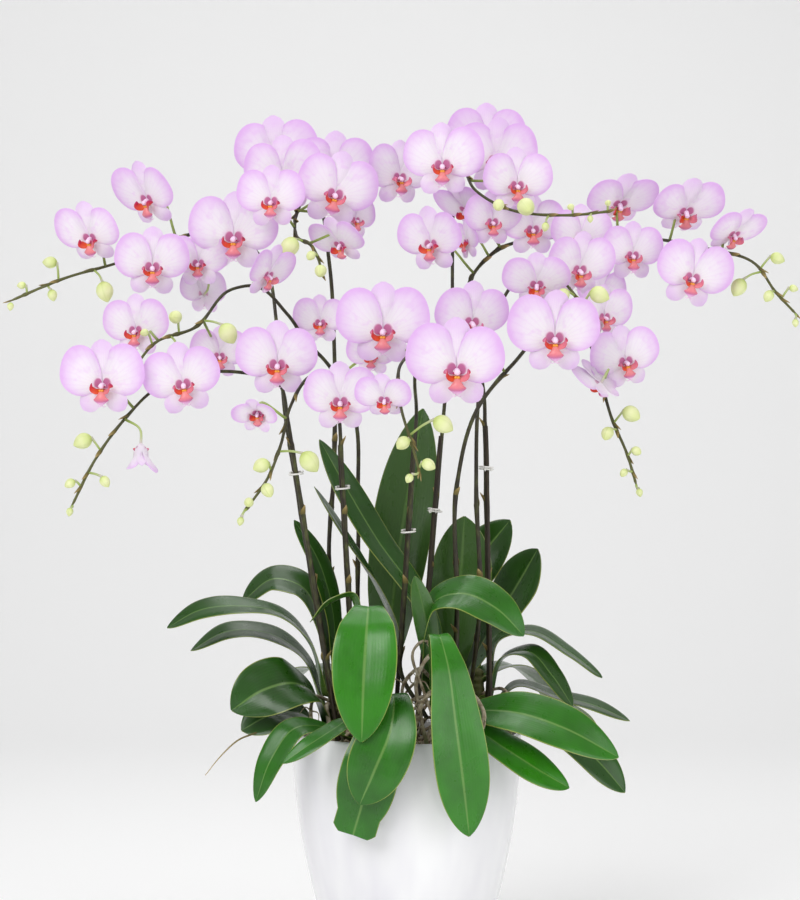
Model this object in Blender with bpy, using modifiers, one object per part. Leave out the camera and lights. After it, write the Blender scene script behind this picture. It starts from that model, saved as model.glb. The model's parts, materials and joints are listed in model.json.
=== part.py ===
"""A glazed pot planted with six moth orchids on ten arching flower spikes.

The origin is the centre of the pot's foot, +Z is up and the plants' show side faces -Y.

Routes and places are drawn in centimetres on one drawing of the plant. Two frames turn the
drawing into metres. The foliage frame is fixed to the pot's rim, because leaves, crowns, sticks
and the lower stems grow out of the pot and hang over its rim. The flower frame is stretched
between the overall spread, depth and rise of the flower spikes.
"""

import math
from dataclasses import dataclass, field

import bmesh
import bpy
from mathutils import Matrix, Vector

# Overall sizes, metres
SPREAD = 0.84                 # bud tip to bud tip across the front
FLOWER_DEPTH = 0.30           # foremost to rearmost flower centre
SPIKE_RISE = 0.66             # from the pot's rim to the top of the highest flowers

# Pot
POT_HEIGHT = 0.24
POT_RIM_RADIUS = 0.120
POT_FOOT_RADIUS = 0.074
POT_WALL = 0.006
POT_FLOOR = 0.010
POT_SEGMENTS = 32
POT_SWELL = 0.85              # under 1, the side leaves the foot quicker than a quarter sine

# Potting medium
MEDIUM_DROP = 0.022           # its surface lies this far below the rim
MEDIUM_HEIGHT = 0.150
FIT_GAP = 0.0004              # clearance between pieces that touch

# Plants
CROWN_RADIUS = 0.0095
CROWN_HEIGHT = 0.085
LEAF_WIDTH = 0.060
LEAF_THICKNESS = 0.0022
LEAF_FOOT_GAP = 0.075 * LEAF_WIDTH   # from a crown to the middle of a leaf's foot
LEAF_FOOT_SHARE = 0.28        # a leaf's width at its foot over its widest
LEAF_CHANNEL = 0.16           # rise of a leaf's edges over its midrib, per half width
FLOWER_WIDTH = 0.078
PETAL_THICKNESS = 0.0020
PETAL_CUP = 0.05              # how deep the petals are cupped, per flower width
LIP_LENGTH = 0.016
LIP_ROOT = 0.22               # the wedge's half width behind the petals, per lip length
LIP_TIP = 0.40                # and at its front end
LIP_DROOP = 0.25              # how much the lip points down, over how much it points forward
BUD_SLENDERNESS = 0.78        # a bud's width over its length
BUD_DROOP = 0.9               # how much a bud hangs, over how much it follows its stalk

# Stems and supports
STEM_RADIUS = 0.0024
STEM_TIP_RADIUS = 0.0013
PEDICEL_RADIUS = 0.0012
PEDICEL_STANDOFF = 0.22       # from a flower's face back to its pedicel's bend, per flower width
PEDICEL_RISE = 0.004          # how far the pedicel's bend lies above the flower's axis
PEDICEL_REACH = 0.3           # how far it grows into the lip, per lip length
STICK_RADIUS = 0.0025
STICK_DEPTH = 0.070           # how far a stick is pushed into the medium
STEM_CLEARANCE = 0.0008       # between a stick and the stem beside it
CLIP_WIRE_RADIUS = 0.0010

# The drawing's own sizes, in centimetres
CM = 0.01
DRAWN_SPREAD = 84.0
DRAWN_DEPTH = 30.0
DRAWN_RIM_RADIUS = 12.0
DRAWN_RIM_LEVEL = 24.0
DRAWN_RISE = 66.0
STICK_MEETS_STEM = 31.0       # the level at which a stem comes alongside its stick
TIED_FROM = 33.5              # the level from which it runs up beside it
FREE_ABOVE_STICK = 2.5        # how far it runs straight on past the stick's top

UP = Vector((0.0, 0.0, 1.0))
BUD_SEAM = Vector((0.31, 0.95, 0.05))   # the side that every bud's first seam is turned to


def foliage(x, y, z):
    """A drawn place in the foliage, which grows with the pot's rim."""
    scale = POT_RIM_RADIUS / DRAWN_RIM_RADIUS
    return Vector((x * scale, y * scale, POT_HEIGHT + (z - DRAWN_RIM_LEVEL) * scale))


def flower(x, y, z):
    """A drawn place among the flowers, which fill the overall spread, depth and rise."""
    return Vector((x * SPREAD / DRAWN_SPREAD, y * FLOWER_DEPTH / DRAWN_DEPTH,
                   POT_HEIGHT + (z - DRAWN_RIM_LEVEL) * SPIKE_RISE / DRAWN_RISE))


# Scene and materials

def clear_scene():
    for item in list(bpy.data.objects):
        bpy.data.objects.remove(item, do_unlink=True)


def new_collection(name):
    collection = bpy.data.collections.new(name)
    bpy.context.scene.collection.children.link(collection)
    return collection


def make_material(name, color, roughness):
    material = bpy.data.materials.new(name)
    material.use_nodes = True
    shader = material.node_tree.nodes["Principled BSDF"]
    shader.inputs["Base Color"].default_value = (*color, 1.0)
    shader.inputs["Roughness"].default_value = roughness
    material.diffuse_color = (*color, 1.0)
    return material


clear_scene()
PARTS = new_collection("potted_orchid")
HELPERS = new_collection("potted_orchid_helpers")

COLORS = {
    "glaze": ((0.86, 0.85, 0.86), 0.18),
    "bark": ((0.075, 0.048, 0.030), 0.90),
    "crown": ((0.070, 0.150, 0.030), 0.55),
    "leaf": ((0.030, 0.150, 0.012), 0.32),
    "flower": ((0.86, 0.66, 0.86), 0.60),
    "stick": ((0.030, 0.026, 0.016), 0.60),
    "clip": ((0.62, 0.62, 0.60), 0.40),
}


def surface(finish, name):
    """Each object gets a material of its own in one of the part's colours."""
    color, roughness = COLORS[finish]
    return make_material(f"{name}_{finish}", color, roughness)


def add_object(name, mesh, finish):
    item = bpy.data.objects.new(name, mesh)
    PARTS.objects.link(item)
    item.data.materials.clear()
    item.data.materials.append(surface(finish, name))
    return item


def smooth_shade(item, degrees=40.0):
    item.data.shade_smooth()
    item.data.set_sharp_from_angle(angle=math.radians(degrees))


# Curves

def smooth_route(points, steps):
    """A smooth curve through the points, whose bends follow the lengths of the stretches."""
    spans = [(end - start).length for start, end in zip(points, points[1:])]
    chords = [(end - start) / span for start, end, span in zip(points, points[1:], spans)]
    slopes = [chords[0]]
    for before, after, chord, following in zip(spans, spans[1:], chords, chords[1:]):
        slopes.append((chord * after + following * before) / (before + after))
    slopes.append(chords[-1])
    route = []
    for index, span in enumerate(spans):
        start, end = points[index], points[index + 1]
        leave, arrive = slopes[index] * span, slopes[index + 1] * span
        for step in range(steps):
            t = step / steps
            route.append(start * (2 * t ** 3 - 3 * t ** 2 + 1) + leave * (t ** 3 - 2 * t ** 2 + t)
                         + end * (3 * t ** 2 - 2 * t ** 3) + arrive * (t ** 3 - t ** 2))
    route.append(points[-1].copy())
    return route


def tube_mesh(name, route, start_radius, end_radius, resolution=1):
    """A closed tube along a route, thinner towards its end."""
    curve = bpy.data.curves.new(name, "CURVE")
    curve.dimensions = "3D"
    curve.bevel_depth = 1.0
    curve.bevel_resolution = resolution
    curve.use_fill_caps = True
    spline = curve.splines.new("POLY")
    spline.points.add(len(route) - 1)
    for index, place in enumerate(route):
        share = index / (len(route) - 1)
        spline.points[index].co = (*place, 1.0)
        spline.points[index].radius = start_radius + (end_radius - start_radius) * share
    guide = bpy.data.objects.new(f"{name}_guide", curve)
    HELPERS.objects.link(guide)
    evaluated = guide.evaluated_get(bpy.context.evaluated_depsgraph_get())
    mesh = bpy.data.meshes.new_from_object(evaluated)
    bpy.data.objects.remove(guide, do_unlink=True)
    bpy.data.curves.remove(curve)
    shell = bmesh.new()
    shell.from_mesh(mesh)
    bmesh.ops.remove_doubles(shell, verts=shell.verts, dist=0.00001)
    bmesh.ops.recalc_face_normals(shell, faces=shell.faces)
    shell.to_mesh(mesh)
    shell.free()
    return mesh


def evaluated_mesh(item):
    evaluated = item.evaluated_get(bpy.context.evaluated_depsgraph_get())
    return bpy.data.meshes.new_from_object(evaluated)


def unite(name, meshes, finish):
    """One body from pieces that grow into each other, by a Boolean union."""
    body = add_object(name, meshes[0], finish)
    pieces = bpy.data.collections.new(f"{name}_pieces")
    HELPERS.children.link(pieces)
    for index, mesh in enumerate(meshes[1:]):
        piece = bpy.data.objects.new(f"{name}_piece_{index}", mesh)
        pieces.objects.link(piece)
    union = body.modifiers.new("union", "BOOLEAN")
    union.operation = "UNION"
    union.operand_type = "COLLECTION"
    union.collection = pieces
    united = evaluated_mesh(body)
    body.modifiers.remove(union)
    body.data = united
    for piece in list(pieces.objects):
        bpy.data.objects.remove(piece, do_unlink=True)
    bpy.data.collections.remove(pieces)
    return body


def facing_frame(facing, up_hint=UP):
    """Axes of a flower: X to its side, Y up it, Z out of its face."""
    side = up_hint.cross(facing).normalized()
    upward = facing.cross(side).normalized()
    return Matrix((side, upward, facing)).transposed()


# Pot and medium

def pot_outer_radius(height):
    """The pot's tulip shape: quick at the foot, nearly upright below the rim."""
    share = height / POT_HEIGHT
    return POT_FOOT_RADIUS + (POT_RIM_RADIUS - POT_FOOT_RADIUS) * math.sin(share * math.pi / 2) ** POT_SWELL


def screw_object(name, profile, finish, segments):
    """A turned solid from a closed profile of (radius, height) points."""
    mesh = bpy.data.meshes.new(name)
    corners = [(radius, 0.0, height) for radius, height in profile]
    edges = [(index, index + 1) for index in range(len(corners) - 1)]
    if profile[0][0] > 0.0:
        edges.append((len(corners) - 1, 0))
    mesh.from_pydata(corners, edges, [])
    item = add_object(name, mesh, finish)
    turn = item.modifiers.new("turn", "SCREW")
    turn.steps = segments
    turn.render_steps = segments
    turn.use_merge_vertices = True
    turn.merge_threshold = 0.00001
    turn.use_smooth_shade = True
    return item


def make_pot():
    """A hollow pot with a rounded rim and a closed, flat foot."""
    rows = 5
    outer = []
    for row in range(rows):
        height = (POT_HEIGHT - POT_WALL / 2) * (1 - row / rows)
        outer.append((pot_outer_radius(height), height))
    foot = [(POT_FOOT_RADIUS, 0.0), (0.0, 0.0), (0.0, POT_FLOOR)]
    inner = []
    for row in range(rows + 1):
        height = POT_FLOOR + (POT_HEIGHT - POT_WALL / 2 - POT_FLOOR) * row / rows
        inner.append((pot_outer_radius(height) - POT_WALL, height))
    rim = [(POT_RIM_RADIUS - POT_WALL * 0.8, POT_HEIGHT - POT_WALL * 0.1),
           (POT_RIM_RADIUS - POT_WALL * 0.5, POT_HEIGHT),
           (POT_RIM_RADIUS - POT_WALL * 0.2, POT_HEIGHT - POT_WALL * 0.1)]
    return screw_object("pot", outer + foot + inner + rim, "glaze", POT_SEGMENTS)


def make_medium(sticks):
    """The plug of bark and moss, with a snug hole for each stick."""
    top = POT_HEIGHT - MEDIUM_DROP
    bottom = top - MEDIUM_HEIGHT
    rows = 4
    side = []
    for row in range(rows + 1):
        height = top + (bottom - top) * row / rows
        side.append((pot_outer_radius(height) - POT_WALL - 3 * FIT_GAP, height))
    profile = [(0.0, top), *side, (0.0, bottom)]
    medium = screw_object("potting_medium", profile, "bark", POT_SEGMENTS)
    for stick in sticks:
        mesh = tube_mesh(f"{stick.name}_hole", [stick.at(top - STICK_DEPTH - FIT_GAP),
                                               stick.at(top + STICK_DEPTH)],
                         STICK_RADIUS + FIT_GAP, STICK_RADIUS + FIT_GAP)
        cutter = bpy.data.objects.new(f"{stick.name}_hole", mesh)
        HELPERS.objects.link(cutter)
        cutter.hide_render = True
        cutter.display_type = "WIRE"
        cut = medium.modifiers.new(f"{stick.name}_hole", "BOOLEAN")
        cut.operation = "DIFFERENCE"
        cut.object = cutter
    return medium


# Sticks and clips

@dataclass
class Stick:
    """A stiff support: its foot and top in the foliage drawing, and the side its stem is on."""

    name: str
    foot: tuple
    top: tuple
    side: tuple
    clip_level: float

    def at(self, height):
        """The stick's centre at a height in metres."""
        foot = foliage(*self.foot)
        top = foliage(*self.top)
        return foot.lerp(top, (height - foot.z) / (top.z - foot.z))

    def beside(self, height, far_side=False):
        """A stem's centre beside the stick; the far side also leaves room for the clip."""
        away = Vector((*self.side, 0.0)).normalized()
        reach = STICK_RADIUS + STEM_RADIUS + STEM_CLEARANCE
        if far_side:
            reach = -(reach + 2 * CLIP_WIRE_RADIUS + STEM_CLEARANCE)
        return self.at(height) + away * reach

    def tied_stem(self, far_side=False):
        """The stretch of a stem that runs up beside the stick and a little past its top."""
        top_level = self.top[2]
        levels = (STICK_MEETS_STEM, TIED_FROM, (TIED_FROM + top_level) / 2, top_level,
                  top_level + FREE_ABOVE_STICK)
        return [self.beside(foliage(0.0, 0.0, level).z, far_side) for level in levels]


STICKS = [
    Stick("stick_left", (-6.8, -3.4, 22), (-12.0, -3.2, 54), (0.2, -1.0), 51.0),
    Stick("stick_centre_left", (-5.2, -2.0, 22), (-7.0, -2.6, 54), (0.3, -1.0), 49.5),
    Stick("stick_centre", (-1.4, -2.8, 22), (0.7, -2.8, 54), (0.2, -1.0), 45.0),
    Stick("stick_centre_right", (0.9, 3.4, 22), (3.6, 3.4, 55), (0.3, 1.0), 47.0),
    Stick("stick_right", (8.8, -2.2, 22), (8.3, -1.4, 56), (-0.2, 1.0), 51.5),
]
STICK = {stick.name: stick for stick in STICKS}


def make_stick(stick):
    foot_level = POT_HEIGHT - MEDIUM_DROP - STICK_DEPTH
    top_level = foliage(*stick.top).z
    mesh = tube_mesh(stick.name, [stick.at(foot_level), stick.at(top_level)], STICK_RADIUS, STICK_RADIUS)
    return add_object(stick.name, mesh, "stick")


def make_clip(stick):
    """A wire ring round a stick and its stem."""
    stem = stick.beside(foliage(0.0, 0.0, stick.clip_level).z)
    centre = (stem + stick.at(stem.z)) / 2
    pair_half_width = STICK_RADIUS + STEM_RADIUS + STEM_CLEARANCE / 2
    ring_radius = pair_half_width + STEM_CLEARANCE + CLIP_WIRE_RADIUS
    bpy.ops.mesh.primitive_torus_add(major_radius=ring_radius, minor_radius=CLIP_WIRE_RADIUS,
                                     major_segments=12, minor_segments=4, location=centre)
    item = bpy.context.active_object
    item.name = stick.name.replace("stick", "clip")
    for owner in list(item.users_collection):
        owner.objects.unlink(item)
    PARTS.objects.link(item)
    item.data.materials.append(surface("clip", item.name))
    smooth_shade(item, 60.0)
    return item


# Crowns and leaves

CROWNS = {
    "crown_front_left": (-4.5, -4.5),
    "crown_front_right": (3.6, -5.0),
    "crown_left": (-7.6, 0.6),
    "crown_right": (7.6, 2.6),
    "crown_back_left": (-3.0, 6.4),
    "crown_back_right": (4.2, 7.0),
}


def crown_centre(name, level=0.0):
    return foliage(*CROWNS[name], level)


def make_crown(name):
    """The short woody stem that a plant's leaves and spikes grow from."""
    shell = bmesh.new()
    base = POT_HEIGHT - MEDIUM_DROP + FIT_GAP
    bmesh.ops.create_cone(shell, cap_ends=True, segments=8, radius1=CROWN_RADIUS,
                          radius2=CROWN_RADIUS * 0.6, depth=CROWN_HEIGHT)
    centre = crown_centre(name)
    centre.z = base + CROWN_HEIGHT / 2
    bmesh.ops.translate(shell, verts=shell.verts, vec=centre)
    mesh = bpy.data.meshes.new(name)
    shell.to_mesh(mesh)
    shell.free()
    item = add_object(name, mesh, "crown")
    smooth_shade(item)
    return item


@dataclass
class Leaf:
    """A strap leaf.

    base is the drawn level where it leaves its crown, route the drawn points it then follows,
    width its share of LEAF_WIDTH, and turn the angles, in degrees, that its upper face is
    rolled about the midrib at the base and at the tip. across sets the leaf's sideways
    direction where it isn't level and square to its heading. blunt is the width of the very
    tip over the leaf's width, and widest the share of the length where the leaf is widest. A
    higher neck keeps the leaf narrow for longer, until it has bent over.
    """

    name: str
    crown: str
    base: float
    route: list
    width: float = 1.0
    turn: tuple = (0.0, 0.0)
    across: tuple = None
    blunt: float = 0.10
    widest: float = 0.58
    neck: float = 1.0


LEAVES = [
    Leaf("leaf_front_left", "crown_front_left", 26.5,
         [(-4.2, -7.5, 33.0), (-3.9, -9.8, 37.6), (-4.0, -12.4, 36.0), (-4.3, -14.3, 31.0),
          (-4.5, -15.0, 24.6)], 1.08, widest=0.74, neck=6.0),
    Leaf("leaf_front_left_low", "crown_front_left", 25.0,
         [(-2.6, -8.5, 28.0), (-1.4, -11.5, 28.8), (-1.6, -14.0, 25.8), (-3.2, -14.6, 21.8),
          (-4.7, -14.2, 18.3)], 1.0, widest=0.72, neck=5.0),
    Leaf("leaf_front_left_hem", "crown_front_left", 23.5,
         [(-3.6, -8.5, 25.2), (-3.2, -11.4, 26.0), (-3.3, -13.0, 23.6), (-4.2, -12.9, 19.2),
          (-5.4, -12.5, 15.0)], 1.0, blunt=0.75, widest=0.74, neck=4.0),
    Leaf("leaf_front_right", "crown_front_right", 26.0,
         [(3.1, -7.8, 31.6), (3.2, -10.4, 34.8), (4.0, -12.6, 32.2), (4.8, -13.9, 26.4),
          (5.6, -13.9, 20.2), (6.2, -13.3, 15.0)], 0.98, widest=0.76, neck=5.0),
    Leaf("leaf_right_front", "crown_front_right", 26.5,
         [(7.4, -6.8, 26.8), (11.0, -8.6, 26.8), (16.0, -9.6, 25.3), (21.4, -9.6, 22.4)],
         1.0, (25.0, 50.0), neck=1.6),
    Leaf("leaf_right_front_low", "crown_front_right", 23.8,
         [(7.0, -8.2, 24.8), (10.0, -9.6, 23.2), (13.2, -10.0, 21.2), (16.4, -9.6, 19.3)],
         0.75, (20.0, 40.0)),
    Leaf("leaf_right_tip", "crown_right", 24.2,
         [(12.0, 0.6, 26.2), (16.0, -2.2, 24.4), (20.0, -3.2, 21.0), (22.6, -3.4, 18.0)],
         0.80, (20.0, 35.0)),
    Leaf("leaf_right_far", "crown_right", 25.6,
         [(11.5, 3.4, 28.4), (16.0, 4.2, 27.2), (20.0, 4.2, 26.2), (23.8, 4.0, 24.6)],
         0.65, (0.0, 25.0)),
    Leaf("leaf_right_under", "crown_right", 27.2,
         [(10.4, 1.6, 31.7), (12.8, 0.8, 32.2), (15.2, 0.2, 29.8), (17.4, -0.2, 26.6)],
         0.70, (0.0, 28.0)),
    Leaf("leaf_right_arch", "crown_right", 29.2,
         [(9.8, 2.9, 33.4), (13.0, 3.0, 34.2), (17.2, 3.2, 32.0), (20.8, 3.4, 29.3)],
         0.65, (0.0, 25.0)),
    Leaf("leaf_centre_right", "crown_front_right", 29.0,
         [(2.0, -5.6, 34.5), (3.0, -6.3, 38.0), (5.6, -7.2, 38.8), (9.0, -7.8, 37.4),
          (11.9, -8.2, 34.6)], 0.95, (10.0, 50.0)),
    Leaf("leaf_upright_right_low", "crown_back_right", 27.6,
         [(9.2, 8.2, 34.2), (12.0, 8.2, 38.8), (14.2, 7.4, 42.8)], 1.05, (30.0, 50.0)),
    Leaf("leaf_upright_right", "crown_back_right", 29.8,
         [(4.4, 12.0, 36.2), (8.0, 12.8, 41.5), (11.4, 12.0, 45.8)], 0.96, (40.0, 55.0)),
    Leaf("leaf_upright_centre", "crown_back_right", 30.4,
         [(5.4, 5.8, 36.0), (5.9, 5.4, 41.0), (6.2, 5.2, 46.4)], 1.1, across=(-1.0, 0.2, 0.0)),
    Leaf("leaf_tall", "crown_back_left", 29.6,
         [(-1.4, 8.6, 38.0), (0.0, 9.3, 48.0), (1.8, 9.2, 58.0)], 1.1, across=(-1.0, -0.1, 0.0)),
    Leaf("leaf_strap_upper", "crown_front_right", 30.4,
         [(2.8, -1.4, 34.5), (0.6, 0.6, 38.8), (-3.0, 0.9, 43.8), (-6.4, 0.9, 49.5),
          (-9.2, 1.0, 54.6)], 0.72, (0.0, -35.0)),
    Leaf("leaf_strap_lower", "crown_back_left", 28.0,
         [(-1.2, 3.6, 33.5), (-3.2, 3.0, 39.0), (-6.2, 2.6, 43.8), (-9.8, 2.6, 49.6)],
         0.8, (0.0, -30.0)),
    Leaf("leaf_left_small", "crown_left", 29.4,
         [(-7.9, 3.8, 36.0), (-9.4, 4.4, 41.5), (-12.0, 4.8, 46.0)], 0.5, (0.0, -20.0)),
    Leaf("leaf_left_arch", "crown_left", 28.0,
         [(-9.2, 2.0, 35.0), (-11.2, 2.4, 39.0), (-14.0, 2.6, 39.8), (-17.4, 2.6, 37.4)],
         0.85, (0.0, -45.0)),
    Leaf("leaf_left_long", "crown_left", 27.8,
         [(-10.2, -0.9, 33.4), (-13.2, -1.9, 36.4), (-17.3, -2.6, 37.2), (-21.5, -2.6, 36.8),
          (-24.9, -2.6, 35.0)], 0.66, (0.0, -38.0)),
    Leaf("leaf_left_long_low", "crown_left", 25.6,
         [(-11.0, 2.8, 31.6), (-14.5, 2.9, 33.9), (-19.0, 2.6, 34.2), (-22.9, 2.6, 32.2)],
         0.68, (0.0, -34.0)),
    Leaf("leaf_left_broad", "crown_left", 24.2,
         [(-10.0, -2.4, 28.4), (-11.9, -4.4, 29.4), (-14.8, -5.6, 28.8), (-18.0, -6.0, 26.8)],
         1.12, (-8.0, -72.0)),
    Leaf("leaf_left_broad_low", "crown_left", 23.2,
         [(-11.0, -2.0, 26.0), (-14.0, -3.4, 26.0), (-17.1, -4.0, 24.5)], 0.85, (-10.0, -50.0)),
    Leaf("leaf_left_down", "crown_front_left", 23.6,
         [(-8.6, -7.4, 25.2), (-11.4, -9.0, 25.2), (-13.6, -9.6, 22.4), (-15.3, -9.4, 17.9)],
         0.55, (-10.0, -50.0)),
    Leaf("leaf_rim_narrow", "crown_front_left", 24.6,
         [(-6.0, -8.8, 26.0), (-7.2, -11.4, 25.5), (-9.6, -12.6, 24.1), (-12.4, -12.8, 22.2)],
         0.4, (0.0, -30.0)),
    Leaf("leaf_back_left", "crown_back_left", 26.0,
         [(-3.5, 9.5, 31.5), (-4.0, 12.5, 33.0), (-4.5, 15.0, 29.0), (-4.8, 16.0, 22.0)], 1.0,
         widest=0.68),
    Leaf("leaf_back_right", "crown_back_right", 25.8,
         [(4.6, 10.4, 30.5), (5.0, 13.4, 31.8), (5.5, 15.8, 27.6), (5.8, 16.4, 20.5)], 1.0,
         widest=0.68),
    Leaf("leaf_back_far_left", "crown_back_left", 24.4,
         [(-7.0, 9.0, 28.4), (-10.5, 11.5, 29.6), (-14.0, 13.5, 27.0), (-16.5, 14.5, 22.0)], 0.9),
    Leaf("leaf_back_far_right", "crown_back_right", 24.2,
         [(8.0, 10.0, 28.6), (11.5, 12.0, 29.8), (15.0, 13.5, 27.4), (17.5, 14.3, 22.5)], 0.9),
    Leaf("leaf_back_low", "crown_right", 23.4,
         [(10.6, 5.4, 26.0), (14.6, 8.2, 26.6), (18.6, 8.8, 24.8), (21.6, 9.6, 21.0)], 0.8),
]


def leaf_half_width(leaf, share):
    """Half the leaf's width over its widest: a narrow foot, widest past the middle, a pointed tip."""
    if share < leaf.widest:
        swell = math.sin(share / leaf.widest * math.pi / 2) ** leaf.neck
        return 0.5 * (LEAF_FOOT_SHARE + (1 - LEAF_FOOT_SHARE) * swell)
    tip = (share - leaf.widest) / (1 - leaf.widest)
    return 0.5 * max((1 - min(tip, 1.0) ** 2.2) ** 0.7, leaf.blunt)


def make_leaf(leaf):
    """A channelled strap: an open strip of faces along the midrib, made solid."""
    centre = crown_centre(leaf.crown, leaf.base)
    first = foliage(*leaf.route[0])
    outward = Vector((first.x - centre.x, first.y - centre.y, 0.0)).normalized()
    foot = centre + outward * (CROWN_RADIUS + LEAF_FOOT_GAP)
    midrib = smooth_route([foot, *[foliage(*place) for place in leaf.route]], 2)
    heading = midrib[-1] - midrib[0]
    heading.z = 0.0
    across = Vector(leaf.across) if leaf.across else heading.cross(UP)
    last = len(midrib) - 1
    mesh = bpy.data.meshes.new(leaf.name)
    shell = bmesh.new()
    rows = []
    for index, place in enumerate(midrib):
        share = index / last
        along = (midrib[min(index + 1, last)] - midrib[max(index - 1, 0)]).normalized()
        side = (across - along * across.dot(along)).normalized()
        roll = math.radians(leaf.turn[0] + (leaf.turn[1] - leaf.turn[0]) * share)
        side = Matrix.Rotation(roll, 3, along) @ side
        above = side.cross(along)
        half = leaf_half_width(leaf, share) * leaf.width * LEAF_WIDTH
        lift = above * half * LEAF_CHANNEL
        rows.append([shell.verts.new(place + side * half + lift), shell.verts.new(place),
                     shell.verts.new(place - side * half + lift)])
    for row, following in zip(rows, rows[1:]):
        for column in range(2):
            shell.faces.new((row[column], row[column + 1], following[column + 1], following[column]))
    shell.to_mesh(mesh)
    shell.free()
    item = add_object(leaf.name, mesh, "leaf")
    solid = item.modifiers.new("thickness", "SOLIDIFY")
    solid.thickness = LEAF_THICKNESS
    solid.offset = 0.0
    smooth_shade(item, 60.0)
    return item


# Flower spikes

@dataclass
class Bloom:
    """An open flower: its drawn centre, its share of FLOWER_WIDTH, and where it looks.

    turn is degrees to the right of the show side, nod degrees below level, and roll degrees
    that its top leans to the right.
    """

    place: tuple
    size: float = 1.0
    turn: float = 0.0
    nod: float = 8.0
    roll: float = 0.0

    def centre(self):
        return flower(*self.place)

    def facing(self):
        turn = math.radians(self.turn)
        nod = math.radians(self.nod)
        return Vector((math.sin(turn) * math.cos(nod), -math.cos(turn) * math.cos(nod),
                       -math.sin(nod)))


@dataclass
class Spike:
    """A flower spike: its lower stem's foliage points, its upper stem's flower points."""

    name: str
    crown: str
    foot: tuple
    lower: list
    upper: list
    blooms: list = field(default_factory=list)
    buds: list = field(default_factory=list)

    def route(self):
        points = [foliage(*self.foot), *self.lower, *[flower(*place) for place in self.upper]]
        return smooth_route(points, 2)


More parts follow.
